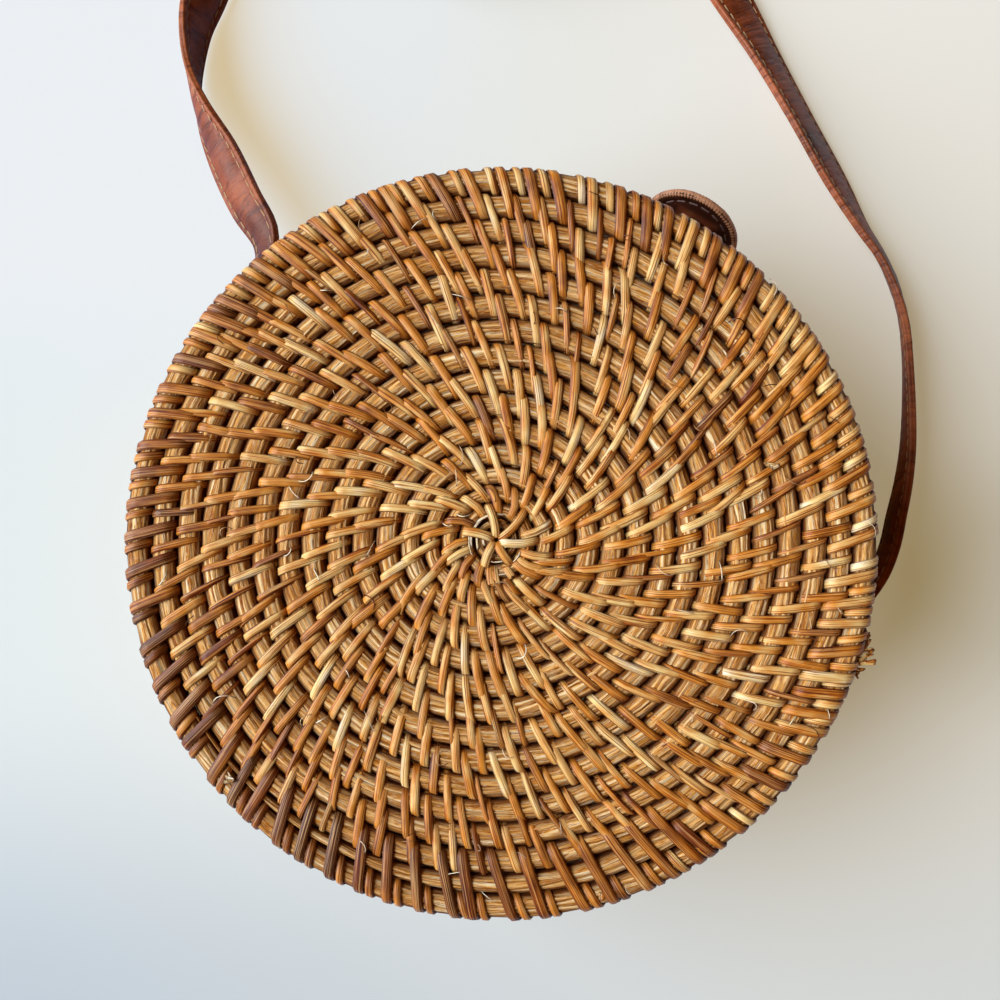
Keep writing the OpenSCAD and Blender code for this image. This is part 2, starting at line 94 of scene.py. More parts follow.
def clearSelection():
    if bpy.context.object and bpy.context.object.mode != "OBJECT":
        bpy.ops.object.mode_set(mode="OBJECT")
    bpy.ops.object.select_all(action="DESELECT")


def nameActive(name):
    piece = bpy.context.active_object
    piece.name = name
    piece.data.name = name
    return piece


def smoothOnly(piece, angle):
    clearSelection()
    bpy.context.view_layer.objects.active = piece
    piece.select_set(True)
    bpy.ops.object.shade_smooth_by_angle(angle=math.radians(angle))


def outwardFaces():
    bpy.ops.mesh.select_all(action="SELECT")
    bpy.ops.mesh.normals_make_consistent(inside=False)
    bpy.ops.object.mode_set(mode="OBJECT")


def unit(vectors):
    return vectors / np.maximum(np.linalg.norm(vectors, axis=-1, keepdims=True), 1e-12)


def smooth(t):
    return t * t * (3 - 2 * t)


# How far each point of a path is from its start, along the path
def reachAlong(path):
    steps = np.linalg.norm(np.diff(path, axis=-2), axis=-1)
    return np.concatenate([np.zeros((*steps.shape[:-1], 1)), np.cumsum(steps, axis=-1)], axis=-1)


def interpAll(marks, reach, values):
    return np.stack([np.interp(marks, reach, column) for column in values.T], axis=1)


# Points nearer than this are sewn together, and edges sharper than these angles stay sharp
limits = {"sewn": .004, "stripEdge": 50, "leatherEdge": 35}
# Slow random waves are sums of shorter and shorter ones, each stretched by chance
waves = {"shares": (1, .45, .21), "stretched": (.8, 1.25), "height": 1.2}


# Slow random waves along a length, one column for each of them
def wander(lengths, count, wavelength, random):
    total = np.zeros((len(lengths), count))
    for share in waves["shares"]:
        phase = random.uniform(0, fullTurn, count)
        stretch = random.uniform(*waves["stretched"], count) * wavelength * share
        total += share * np.sin(lengths[:, None] * fullTurn / stretch + phase)
    return total / waves["height"]


def readVertices(data):
    spots = np.empty(len(data.vertices) * 3)
    data.vertices.foreach_get("co", spots)
    corners = np.empty(len(data.loops), dtype=np.int32)
    data.loops.foreach_get("vertex_index", corners)
    return spots.reshape(-1, 3), corners


def addMark(data, name, values):
    values = np.asarray(values, dtype=np.float32).ravel()
    data.attributes.new(name, "FLOAT", "POINT").data.foreach_set("value", values)


# A grid is laid over a table of points, rings by columns, and sewn where its edges meet
def wrapGrid(name, points, along, around, **marks):
    rings, columns = points.shape[:2]
    clearSelection()
    bpy.ops.mesh.primitive_grid_add(x_subdivisions=rings - 1, y_subdivisions=columns - 1, size=2)
    piece = nameActive(name)
    data = piece.data
    spots, corners = readVertices(data)
    ring = np.rint((spots[:, 0] + 1) / 2 * (rings - 1)).astype(int)
    column = np.rint((spots[:, 1] + 1) / 2 * (columns - 1)).astype(int)
    data.vertices.foreach_set("co", (points[ring, column] * mm).ravel())
    along = np.broadcast_to(along if along.ndim > 1 else along[:, None], (rings, columns))
    around = np.broadcast_to(around, (rings, columns))
    layout = np.stack([along[ring[corners], column[corners]], around[ring[corners], column[corners]]], axis=1)
    data.uv_layers.active.data.foreach_set("uv", layout.ravel())
    for key, values in marks.items():
        addMark(data, key, np.broadcast_to(values, (rings, columns))[ring, column])
    bpy.ops.object.mode_set(mode="EDIT")
    bpy.ops.mesh.select_all(action="SELECT")
    bpy.ops.mesh.remove_doubles(threshold=limits["sewn"] * mm)
    outwardFaces()
    bpy.ops.object.shade_smooth()
    return piece


# All copies of one small modelled shape go into one mesh: places is copies by vertices by 3
def joinCopies(name, shape, places, layout, **marks):
    faces = [tuple(face.vertices) for face in shape.data.polygons]
    corners = np.array([corner for face in faces for corner in face])
    size = len(shape.data.vertices)
    copies = [tuple(corner + size * copy for corner in face) for copy in range(len(places)) for face in faces]
    data = bpy.data.meshes.new(name)
    data.from_pydata((places.reshape(-1, 3) * mm).tolist(), [], copies)
    data.uv_layers.new(name="UVMap").data.foreach_set("uv", layout[:, corners].ravel())
    for key, values in marks.items():
        addMark(data, key, values if values.ndim > 1 else np.repeat(values, size))
    piece = bpy.data.objects.new(name, data)
    bpy.context.collection.objects.link(piece)
    smoothOnly(piece, limits["stripEdge"])
    return piece


def finishPiece(piece, body, material, slot, *nodes):
    piece.data.materials.clear()
    piece.data.materials.append(material)
    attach(piece, body)
    if nodes:
        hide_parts(*nodes)
    return piece


# Materials

def colour(code):
    parts = [int(code[place:place + 2], 16) / 255 for place in (1, 3, 5)]
    return [part / 12.92 if part <= .04045 else ((part + .055) / 1.055) ** 2.4 for part in parts] + [1]


# A material with its Principled shader. Each socket is given a value, and _ stands for a space in its name
def newMaterial(name, **sockets):
    material = bpy.data.materials.new(name)
    material.use_nodes = True
    shader = material.node_tree.nodes["Principled BSDF"]
    for socket, value in sockets.items():
        shader.inputs[socket.replace("_", " ")].default_value = value
    return material


# Adds one node and gives back one of its outputs. A setting is a property or an input of the node, and its
# value a number, a colour code or the output that feeds it
def addNode(owner, kind, output, settings):
    tree = owner.node_tree
    node = tree.nodes.new("ShaderNode" + kind)
    for key, value in settings.items():
        if key == "ramp":
            stops = node.color_ramp.elements
            while len(stops) < len(value):
                stops.new(.5)
            for stop, (place, code) in zip(stops, value):
                stop.position = place
                stop.color = colour(code)
        elif isinstance(value, bpy.types.NodeSocket):
            tree.links.new(node.inputs[key], value)
        elif isinstance(key, int) or key in node.inputs:
            node.inputs[key].default_value = colour(value) if isinstance(value, str) else value
        else:
            setattr(node, key, value)
    return node.outputs[output]


def feed(material, **sources):
    shader = material.node_tree.nodes["Principled BSDF"]
    for socket, source in sources.items():
        material.node_tree.links.new(shader.inputs[socket.replace("_", " ")], source)


def surface(owner, place="UV"):
    return addNode(owner, "TexCoord", place, {})


def mark(owner, name):
    return addNode(owner, "Attribute", "Fac", {"attribute_name": name})


def noise(owner, place, scale, **settings):
    return addNode(owner, "TexNoise", "Fac", {"Scale": scale, "Vector": place, **settings})


# Noise drawn out along the surface: its grain is so many millimetres long and wide
def grain(owner, place, length, width, **settings):
    drawn = addNode(owner, "Mapping", "Vector", {"Scale": (1 / length, 1 / width, 1), "Vector": place})
    return noise(owner, drawn, 1, **settings)


def ramp(owner, source, *stops):
    return addNode(owner, "ValToRGB", "Color", {"ramp": stops, "Fac": source})


# Brings a value from one span into another. Each span is its two ends
def span(owner, source, ends, into=(0, 1), **settings):
    return addNode(owner, "MapRange", "Result", {"From Min": ends[0], "From Max": ends[1], "To Min": into[0],
                                                 "To Max": into[1], "Value": source, **settings})


# Lays one colour over another by a share, or multiplies them
def lay(owner, below, above, share, blend="MIX"):
    return addNode(owner, "Mix", 2, {"data_type": "RGBA", "blend_type": blend, 6: below, 7: above, 0: share})


def times(owner, first, second):
    return addNode(owner, "Math", "Value", {"operation": "MULTIPLY", 0: first, 1: second})


def bump(owner, source, strength, depth, **settings):
    return addNode(owner, "Bump", "Normal", {"Strength": strength, "Distance": depth * mm, "Height": source,
                                             **settings})


# Bundled dry grass: matt pale stems with a thin sheen, painted dark with shade where they meet
def makeStraw():
    look = {"stem": 1, "stemLength": 20, "fibre": .3, "fibreLength": 4.5, "fleck": .2, "fleckLength": 2,
            "stainSize": 30, "fleckTint": "#fff3d6", "gapShadeTint": "#4e1500", "stainAndShadeTint": "#a8703a"}
    straw = newMaterial("bundledDryGrass", Roughness=.5, IOR=1.5, Specular_IOR_Level=.08)
    uv = surface(straw)
    stems = grain(straw, uv, look["stemLength"], look["stem"], Detail=2, Roughness=.6)
    fibres = grain(straw, uv, look["fibreLength"], look["fibre"], Detail=3, Roughness=.65)
    flecks = grain(straw, uv, look["fleckLength"], look["fleck"], Detail=1)
    tones = ramp(straw, stems, (.29, "#9a5612"), (.42, "#ca8733"), (.55, "#f1bd70"), (.69, "#ffeec2"))
    lines = ramp(straw, fibres, (.33, "#6a3008"), (.4, "#c88e4a"), (.46, "#ffffff"))
    tint = lay(straw, tones, lines, .9, "MULTIPLY")
    tint = lay(straw, tint, look["fleckTint"], span(straw, flecks, (.57, .68), (0, .4)))
    # Painted shade: the gaps, flanks and undersides of the rows are painted dark brown where shade falls
    # between them
    tint = lay(straw, tint, look["gapShadeTint"], mark(straw, "groove"))
    stains = noise(straw, surface(straw, "Object"), 1 / (look["stainSize"] * mm), Detail=3)
    tint = lay(straw, tint, look["stainAndShadeTint"], span(straw, stains, (.45, .75), (0, .35)))
    feed(straw, Base_Color=tint, Normal=bump(straw, fibres, .8, .3))
    return straw


# Split cane with its skin left on: smooth, slightly glossy, honey to red-brown, with fine lengthwise lines
# and painted shade where it goes into the gaps
def makeCane():
    look = {"grain": .27, "grainLength": 26, "patch": 8, "patchWidth": 1 / .35, "blushTint": "#a5602e",
            "splitTint": "#d6a66c", "stainAndShadeTint": "#4e1500"}
    cane = newMaterial("splitCane", Roughness=.42, IOR=1.5, Specular_IOR_Level=.27, Coat_Weight=.12,
                       Coat_Roughness=.32)
    uv = surface(cane)
    lines = grain(cane, uv, look["grainLength"], look["grain"], Detail=2.5, Roughness=.6)
    patches = grain(cane, uv, look["patch"], look["patchWidth"], Detail=2)
    tone, blush = mark(cane, "tone"), mark(cane, "blush")
    patchy = addNode(cane, "Math", "Value", {"operation": "ADD", "use_clamp": True, 0: tone,
                                             1: span(cane, patches, (.25, .75), (-.2, .2))})
    tint = ramp(cane, patchy, (0, "#fff9dc"), (.25, "#ffdc8e"), (.48, "#e2922c"), (.72, "#874710"),
                (1, "#3a2009"))
    tint = lay(cane, tint, look["blushTint"], blush)
    dark = ramp(cane, lines, (.36, "#5c2300"), (.43, "#bf7f3e"), (.5, "#ffffff"))
    # The reddish strips show their lines most
    tint = lay(cane, tint, dark, span(cane, blush, (0, .4), (.84, 1)), "MULTIPLY")
    # Dark strips are streaked with pale lines where the skin has split
    tint = lay(cane, tint, look["splitTint"], times(cane, span(cane, lines, (.52, .6), (0, .85)), tone))
    # Painted shade: the strips are painted dark red-brown at their ends, sides and undersides, where shade
    # falls
    tint = lay(cane, tint, look["stainAndShadeTint"], mark(cane, "stain"))
    feed(cane, Base_Color=tint, Roughness=span(cane, lines, (.3, .7), (.5, .36)),
         Normal=bump(cane, lines, .7, .25))
    return cane


# Waxed bridle leather: fine pores, cross creases from bending with painted shade in them, and lighter rubbed
# edges, partly a painted highlight
def makeLeather(name, dark, middle, worn, creaseDepth):
    look = {"pore": .55, "crease": 2.4, "creaseWidth": 14, "patch": 22, "rawSideAndShade": "#1d0b06"}
    leather = newMaterial(name, Roughness=.48, IOR=1.5, Specular_IOR_Level=.24, Coat_Weight=.06,
                          Coat_Roughness=.32)
    uv = surface(leather)
    pores = addNode(leather, "TexVoronoi", "Distance", {"Scale": 1 / look["pore"], "Vector": uv})
    creases = grain(leather, uv, look["crease"], look["creaseWidth"], Detail=3, Roughness=.6, Distortion=.4)
    clouds = noise(leather, uv, 1 / look["patch"], Detail=4, Roughness=.6)
    tint = ramp(leather, clouds, (.3, dark), (.52, middle), (.75, worn))
    # The rubbed borders are painted lighter: partly real wear, partly a painted highlight
    tint = lay(leather, tint, worn, mark(leather, "wear"))
    # Painted shade: the crease valleys are painted darker
    tint = lay(leather, tint, dark, span(leather, creases, (.32, .5), (.7, 0)))
    # The raw underside is painted nearly black, deepened as painted shade on the tab's inner face, and the
    # strap is painted dark with shade by the bag
    tint = lay(leather, tint, look["rawSideAndShade"], mark(leather, "inside"))  # the unpolished side is nearly black
    fine = bump(leather, pores, .25, .12)
    feed(leather, Base_Color=tint, Roughness=span(leather, clouds, (.3, .7), (.36, .54)),
         Normal=bump(leather, creases, creaseDepth, .4, Normal=fine))
    return leather


# Waxed linen thread, twisted from two plies
def makeThread(name, dark, light):
    look = {"ply": .5, "twist": .8}
    thread = newMaterial(name, Roughness=.6, IOR=1.5)
    scale = 1 / look["ply"]
    twist = addNode(thread, "Mapping", "Vector", {"Scale": (scale, scale, 1), "Vector": surface(thread),
                                                  "Rotation": (0, 0, look["twist"])})
    plies = addNode(thread, "TexWave", "Fac", {"Scale": .5, "Distortion": .6, "Vector": twist})
    feed(thread, Base_Color=ramp(thread, plies, (0, dark), (1, light)), Normal=bump(thread, plies, .5, .1))
    return thread


# Cast brass left to dull: warm metal, browner and rougher in patches
def makeBrass():
    look = {"patch": 2.5, "scratch": .3}
    brass = newMaterial("agedBrass", Metallic=1, Roughness=.35)
    place = surface(brass, "Object")
    patches = noise(brass, place, 1 / (look["patch"] * mm), Detail=4)
    fine = noise(brass, place, 1 / (look["scratch"] * mm), Detail=2)
    feed(brass, Base_Color=ramp(brass, patches, (.35, "#7d5a2a"), (.6, "#c9a055"), (.8, "#e3c582")),
         Roughness=span(brass, patches, (0, 1), (.22, .5)), Normal=bump(brass, fine, .15, .05))
    return brass


# Unbleached plain-weave cotton: threads of .7 mm so that the weave still shows
def makeCotton():
    look = {"thread": .7, "patch": 30}
    cotton = newMaterial("unbleachedCotton", Roughness=.85, IOR=1.45, Sheen_Weight=.25)
    uv = surface(cotton)
    warp, weft = [addNode(cotton, "TexWave", "Fac", {"Scale": .5 / look["thread"], "bands_direction": way,
                                                     "Distortion": .4, "Vector": uv}) for way in "XY"]
    weave = times(cotton, warp, weft)
    cloth = ramp(cotton, noise(cotton, uv, 1 / look["patch"], Detail=6), (.3, "#d3c3a2"), (.7, "#efe6d2"))
    shade = ramp(cotton, weave, (0, "#c9bca3"), (.6, "#ffffff"))
    feed(cotton, Base_Color=lay(cotton, cloth, shade, .7, "MULTIPLY"), Normal=bump(cotton, weave, .4, .2))
    return cotton


# Matt white table top, painted darker and bluer towards the viewer as painted shade. A share of what the
# camera sees of it is a plain warm glow, painted light, which keeps the shadow light and yellowish, most of
# all behind the strap at the upper left, and darker yellow beside the bag as a painted shadow
def makeFloor():
    look = {
        "turn": 31.4, "boardLeft": ("#a9c4dd", "#e2f4fc"), "boardRight": ("#cfe0ee", "#eef4f6"),
        "farBoard": "#eef4fb", "cornerBoard": "#94c4f0", "ownLight": .36,
        "leftTint": "#eae2cc", "rightTint": "#eedcb1",
        "shadeTint": "#d8c48a", "shadePlace": (.17, -.017, 0), "cornerTint": "#ffe8bb", "cornerLight": 1.76,
    }
    eased = {"interpolation_type": "SMOOTHSTEP"}
    floor = newMaterial("mattWhiteBoard", Roughness=.9)
    place = addNode(floor, "Mapping", "Vector", {"vector_type": "TEXTURE", "Vector": surface(floor, "Object"),
                                                 "Rotation": (0, 0, math.radians(look["turn"]))})
    rightward = addNode(floor, "SeparateXYZ", "X", {"Vector": place})
    upward = addNode(floor, "SeparateXYZ", "Y", {"Vector": place})
    # The board is painted darker and bluer towards the viewer, most of all at the lower left: painted shade
    # of the light falling off
    high = span(floor, upward, (-.17, -.04), **eased)
    right = span(floor, rightward, (-.165, .1))
    tint = lay(floor, lay(floor, *look["boardLeft"], high), lay(floor, *look["boardRight"], high), right)
    # Beyond the photograph the board is plain
    away = addNode(floor, "VectorMath", "Value", {"operation": "LENGTH", "Vector": place})
    near = span(floor, away, (.26, .6), (1, 0), **eased)
    # At the upper left, behind the strap, the glow is painted warmer and stronger to lighten the strap's
    # shadow, and the board is painted darker and bluer under it: painted light
    corner = times(floor, span(floor, rightward, (.03, -.09), **eased),
                   span(floor, upward, (.02, .1), **eased))
    corner = times(floor, corner, near)
    tint = lay(floor, look["farBoard"], tint, near)
    tint = lay(floor, tint, look["cornerBoard"], corner)
    beside = addNode(floor, "VectorMath", "Value", {"operation": "DISTANCE", 0: place, 1: look["shadePlace"]})
    own = lay(floor, look["leftTint"], look["rightTint"], right)
    own = lay(floor, own, look["shadeTint"], span(floor, beside, (.015, .055), (1, 0), **eased))
    own = lay(floor, own, look["cornerTint"], corner)
    bright = span(floor, corner, (0, 1), (1, look["cornerLight"]))
    glow = addNode(floor, "Emission", "Emission", {"Color": own, "Strength": bright})
    share = times(floor, addNode(floor, "LightPath", "Is Camera Ray", {}), look["ownLight"])
    board = floor.node_tree.nodes["Principled BSDF"].outputs["BSDF"]
    both = addNode(floor, "MixShader", "Shader", {0: share, 1: board, 2: glow})
    feed(floor, Base_Color=tint)
    floor.node_tree.links.new(floor.node_tree.nodes["Material Output"].inputs["Surface"], both)
    return floor


# Camera and light

studio = {
    "cameraHeight": 342.4, "cameraPlace": (-6.38, 9.69), "cameraTurn": 31.4,
    "focalPixels": 1001, "framePixels": 1000, "sensor": 36, "clipStart": 10,
    "keyDirection": 176,      # seen in the photograph, counted from its right-hand side
    "keyElevation": 32, "keyDistance": 16000, "keySize": 19200, "keyPower": 6480,
    "skyLight": .108, "skyTint": "#ffa94c", "keyTint": "#edf5ff", "backdrop": "#e6e8e4", "floorSize": 6000,
}


def makeStudio():
    scene = bpy.context.scene
    scene.view_settings.view_transform = "Standard"
    clearSelection()
    x, y = studio["cameraPlace"]
    bpy.ops.object.camera_add(location=(x * mm, y * mm, studio["cameraHeight"] * mm),
                              rotation=(0, 0, math.radians(studio["cameraTurn"])))
    camera = bpy.context.active_object
    camera.data.sensor_width = studio["sensor"]
    camera.data.lens = studio["sensor"] * studio["focalPixels"] / studio["framePixels"]
    camera.data.clip_start = studio["clipStart"] * mm
    scene.camera = camera
    heading = math.radians(studio["keyDirection"] + studio["cameraTurn"])
    raised = math.radians(studio["keyElevation"])
    away = studio["keyDistance"] * mm
    level = away * math.cos(raised)
    place = (level * math.cos(heading), level * math.sin(heading), away * math.sin(raised))
    bpy.ops.object.light_add(type="AREA", location=place, rotation=(0, math.pi / 2 - raised, heading))
    key = bpy.context.active_object.data
    key.shape = "DISK"
    key.size = studio["keySize"] * mm
    key.energy = studio["keyPower"]
    key.color = colour(studio["keyTint"])[:3]
    world = scene.world = scene.world or bpy.data.worlds.new("sky")
    world.use_nodes = True
    nodes = world.node_tree.nodes
    sky = nodes["Background"]
    sky.inputs["Color"].default_value = colour(studio["skyTint"])
    sky.inputs["Strength"].default_value = studio["skyLight"]
    # The camera itself sees a pale backdrop
    pale = addNode(world, "Background", "Background", {"Color": studio["backdrop"]})
    seen = addNode(world, "LightPath", "Is Camera Ray", {})
    both = addNode(world, "MixShader", "Shader", {0: seen, 1: sky.outputs["Background"], 2: pale})
    world.node_tree.links.new(nodes["World Output"].inputs["Surface"], both)
    clearSelection()
    bpy.ops.mesh.primitive_plane_add(size=studio["floorSize"] * mm, location=(0, 0, 0))
    floor = nameActive("floor")
    floor.data.materials.append(makeFloor())
    print("studio made")


makeStudio()

strawMaterial = makeStraw()
caneMaterial = makeCane()
strapMaterial = makeLeather("waxedStrapLeather", "#4a1a0a", "#8c431f", "#b4683c", 2)
tabMaterial = makeLeather("waxedTabLeather", "#5a2411", "#a05535", "#c8926c", .5)
threadMaterial = makeThread("waxedLinenThread", "#8a6540", "#cda877")
tabThreadMaterial = makeThread("brownWaxedThread", "#3f2a24", "#8a6f66")
brassMaterial = makeBrass()
cottonMaterial = makeCotton()


# Small shapes that are modelled once, and how copies of them are laid

# A strip of split cane is flat below and crowned above. Its corners' places go by their angles on a circle
cane = {
    "section": {90: (0, 1), 39: (.32, .92), 347: (.49, .48), 296: (.38, 0), 244: (-.38, 0), 193: (-.49, .48),
                141: (-.32, .92)},
    "taper": .22, "taperPower": 6, "grainStep": 40, "grainAside": 280,
    # The painted shade begins on the ends after this share, and on the sides and the underside by these
    # places in the section
    "unshadedPart": .62, "sideFrom": .4, "sideShade": .85, "underTo": .1, "underStain": .9,
}
threadShape = ((.14, 2), (.72, 1), (.14, .5))  # how far each part of a stitch climbs, and how it swells
stitchStations = 12
loopStations = 25


# Extrudes the face of the active object upwards, by steps of climb and swell
def extrudeUp(steps):
    bpy.ops.object.mode_set(mode="EDIT")
    bpy.ops.mesh.select_mode(type="FACE")
    bpy.ops.mesh.select_all(action="SELECT")
    for climb, swell in steps:
        bpy.ops.mesh.extrude_region_move(TRANSFORM_OT_translate={"value": (0, 0, climb)})
        bpy.ops.transform.resize(value=(swell, swell, 1), center_override=(0, 0, 0))
    outwardFaces()


# A straight strip, one unit long and wide
def modelStrip(name, segments):
    clearSelection()
    bpy.ops.mesh.primitive_circle_add(vertices=len(cane["section"]), radius=.5, fill_type="NGON")
    strip = nameActive(name)
    for corner in strip.data.vertices:
        angle = round(math.degrees(math.atan2(corner.co.y, corner.co.x))) % 360
        corner.co.x, corner.co.y = cane["section"][angle]
    extrudeUp([(1 / segments, 1)] * segments)
    return strip


# One visible stitch of thread, a short sausage along Z
def modelThread():
    clearSelection()
    bpy.ops.mesh.primitive_circle_add(vertices=6, radius=.25, fill_type="NGON", location=(0, 0, -.5))
    bpy.ops.object.transform_apply(location=True)
    thread = nameActive("threadStitch")
    extrudeUp(threadShape)
    return thread


stitchStrip = modelStrip("stitchStrip", stitchStations - 1)
loopStrip = modelStrip("loopStrip", loopStations - 1)
threadStitch = modelThread()


# Bends a copy of the strip along each path and finishes them as one piece. Paths and normals are copies by
# stations by 3, and rolls turns each copy about its own length
def layCane(name, body, way, widths, heights, tones, blush, rolls=0., strip=stitchStrip, nodes=()):
    paths, normals = way
    copies, stations = paths.shape[:2]
    widths, heights, tones, blush, rolls = [np.broadcast_to(values, copies)
                                            for values in (widths, heights, tones, blush, rolls)]
    corners = np.array([corner.co for corner in strip.data.vertices])
    station = np.rint(corners[:, 2] * (stations - 1)).astype(int)
    fromMiddle = np.abs(np.linspace(-1, 1, stations))
    ahead = unit(np.gradient(paths, axis=1))
    level = unit(np.cross(normals, ahead))
    roll = rolls[:, None, None]
    side = level * np.cos(roll) + np.cross(ahead, level) * np.sin(roll)
    up = np.cross(ahead, side)
    across = corners[:, 0] * (1 - cane["taper"] * fromMiddle ** cane["taperPower"])[station]
    places = (paths[:, station] + side[:, station] * across[None, :, None] * widths[:, None, None]
              + up[:, station] * (corners[:, 1] - .5)[None, :, None] * heights[:, None, None])
    number = np.arange(copies)[:, None]
    layout = np.stack([reachAlong(paths)[:, station] + cane["grainStep"] * number,
                       corners[None, :, 0] * widths[:, None] + cane["grainAside"] * number], axis=2)
    # Each strip is painted with shade where it goes down into a gap, below, and along both sides
    ends = np.clip((fromMiddle - cane["unshadedPart"]) / (1 - cane["unshadedPart"]), 0, 1)
    sides = np.where(np.abs(corners[:, 0]) > cane["sideFrom"], cane["sideShade"], 0)
    sides = np.where(corners[:, 1] < cane["underTo"], cane["underStain"], sides)
    stain = np.tile(np.maximum(ends[station], sides), (copies, 1))
    piece = joinCopies(name, strip, places, layout, tone=tones, blush=blush, stain=stain)
    return finishPiece(piece, body, caneMaterial, "cane_wrap", *nodes)


# Lays thread stitches: each has a middle, a way along and a way out of the leather
def layThread(name, middles, ways, outs, length, thickness):
    corners = np.array([corner.co for corner in threadStitch.data.vertices]) * [thickness, thickness, length]
    ways = unit(ways)
    sides = unit(np.cross(outs, ways))
    axes = (sides, np.cross(ways, sides), ways)
    places = middles[:, None] + sum(axis[:, None] * corners[None, :, k:k + 1] for k, axis in enumerate(axes))
    return joinCopies(name, threadStitch, places, np.tile(corners[:, [2, 0]], (len(middles), 1, 1)))


# Shoulder strap

# Each row is x, y, height and lean, as in the part's source. The lean turns the top edge to the left
# of the way that leads from the bag to the roll
strap = {
    "left": [
        (-101.9, -14.3, 19.3, 0), (-102.6, -7.2, 19.3, 0), (-102.9, 0, 19.3, 0), (-103.3, 7, 19.4, -3),
        (-105.5, 20, 19.6, -12), (-109.5, 32, 19.6, -26), (-115, 42.5, 19.5, -40), (-127, 49, 18, -52),
        (-141.5, 58, 15, -50), (-156, 67, 12, -26), (-167, 77, 9.5, -3), (-175.5, 91.5, 8.2, 22),
        (-179, 103.5, 7, 44), (-181.5, 117, 6.6, 50), (-184.5, 132, 6.8, 44), (-188, 148, 7.4, 30),
        (-191, 163, 7.7, 15), (-193, 178, 7.6, 4),
    ],
    "right": [
        (101.9, -14.3, 19.3, 0), (102.6, -7.2, 19.3, 0), (102.9, 0, 19.3, 0), (103.4, 7, 19.4, 0),
        (105.5, 21, 19.5, 0), (108.6, 36, 19.5, 1), (110.3, 51, 19.5, 2), (108.8, 62, 19.3, 3),
        (105.5, 72, 19, 4), (102, 83.5, 17.5, 7), (97, 96, 15.5, 11), (88.5, 112.5, 12.5, 16),
        (79, 128, 10, 20), (70, 138, 8.5, 24), (60, 145.5, 7.8, 28), (49, 151, 7.2, 33),
        (33.5, 160, 6.5, 44), (12.5, 172, 6.4, 46), (-8.5, 184, 5.8, 53), (-30, 196, 4.5, 70),
        (-46, 203, 5, 62), (-61, 206, 6.2, 50), (-75, 204.5, 7.2, 34), (-87, 199, 7.7, 16),
        (-95.5, 191, 7.6, 4),
    ],
    "rollCentre": (-146, 192), "rollHeight": 7.5, "rollRadius": 48, "rollSpacing": 14,
    "rollAngle": 170, "rollTurns": .9, "rollSteps": 22, "bendSteps": 8,
    "width": 15, "thickness": 2.5, "length": 1191, "step": 2.6, "fineCuts": 24, "endShare": .82,
    # In from the border, the sewing groove is so deep on both sides of the seam. The border is rounded by
    # how far in and how far below the face each point lies
    "stitchInset": 2.1, "groove": [(-1, 0), (-.5, .08), (0, .3), (.5, .08), (1.1, 0)],
    "border": [(.4, .12), (.05, .45), (.08, .85)], "edgeGroove": .12,
    "stitchLength": 2.7, "stitchSpacing": 3.8, "threadThickness": .55, "stitchRise": .1,
    # How crumpled the leather is, by millimetres along it, and where it is painted darkest with shade, by the
    # bag
    "crumpled": [(0, .2), (30, .3), (45, 1), (85, 1), (110, .5), (150, .3), (240, .1), (980, .1), (1080, .3),
                 (1130, .5), (1191, .3)],
    "folded": [(40, 0), (52, .5), (62, .5), (72, 0)],
    "puff": .28, "crumpledPuff": .8, "puffWave": 23, "puffSway": .5, "puffInset": .4,
    "crease": .33, "slant": .9, "slantWave": 31, "slantSway": 3, "creaseRate": .95, "secondCrease": .6,
    "wear": .4, "wornFrom": 1.2, "wornOver": .9, "wornAbove": .3,
}


# A row of the strap from the roll's centre. Each arm is a length and its heading
def fromRoll(*arms):
    x, y = strap["rollCentre"]
    for length, heading in arms:
        x += length * math.cos(math.radians(heading))
        y += length * math.sin(math.radians(heading))
    return x, y, strap["rollHeight"], 0


def rollStrand(angle):
    turned = [strap["rollTurns"] * step / strap["rollSteps"] for step in range(strap["rollSteps"] + 1)]
    return [fromRoll((strap["rollRadius"] - strap["rollSpacing"] * part, angle - 360 * part))
            for part in turned]


def rollMiddle():
    inner = (strap["rollRadius"] - strap["rollSpacing"] * strap["rollTurns"]) / 2
    start = strap["rollAngle"] - 360 * strap["rollTurns"]
    rows = []
    for side, way, last in ((0, -1, strap["bendSteps"]), (180, 1, strap["bendSteps"] - 1)):
        for step in range(1, last + 1):
            heading = start + way * 180 * step / strap["bendSteps"]
            rows.append(fromRoll((inner, start + side), (inner, heading)))
    return rows


def backwards(rows):
    return [(x, y, z, -lean) for x, y, z, lean in reversed(rows)]


# A smooth curve through all the rows, cut into even steps
def strapCurve():
    rows = (strap["left"] + rollStrand(strap["rollAngle"]) + rollMiddle()
            + backwards(rollStrand(strap["rollAngle"] + 180)) + backwards(strap["right"]))
    rows = np.array(rows)
    rows = np.vstack([2 * rows[0] - rows[1], rows, 2 * rows[-1] - rows[-2]])
    share = np.linspace(0, 1, strap["fineCuts"], endpoint=False)[:, None]
    pieces = []
    for before, here, there, after in zip(rows, rows[1:], rows[2:], rows[3:]):
        bend = 2 * before - 5 * here + 4 * there - after
        twist = 3 * here - before - 3 * there + after
        pieces.append(.5 * (2 * here + (there - before) * share + bend * share ** 2 + twist * share ** 3))
    fine = np.vstack(pieces + [rows[-2:-1]])
    reach = reachAlong(fine[:, :3])
    along = np.linspace(0, reach[-1], round(reach[-1] / strap["step"]) + 1)
    return along, interpAll(along, reach, fine)


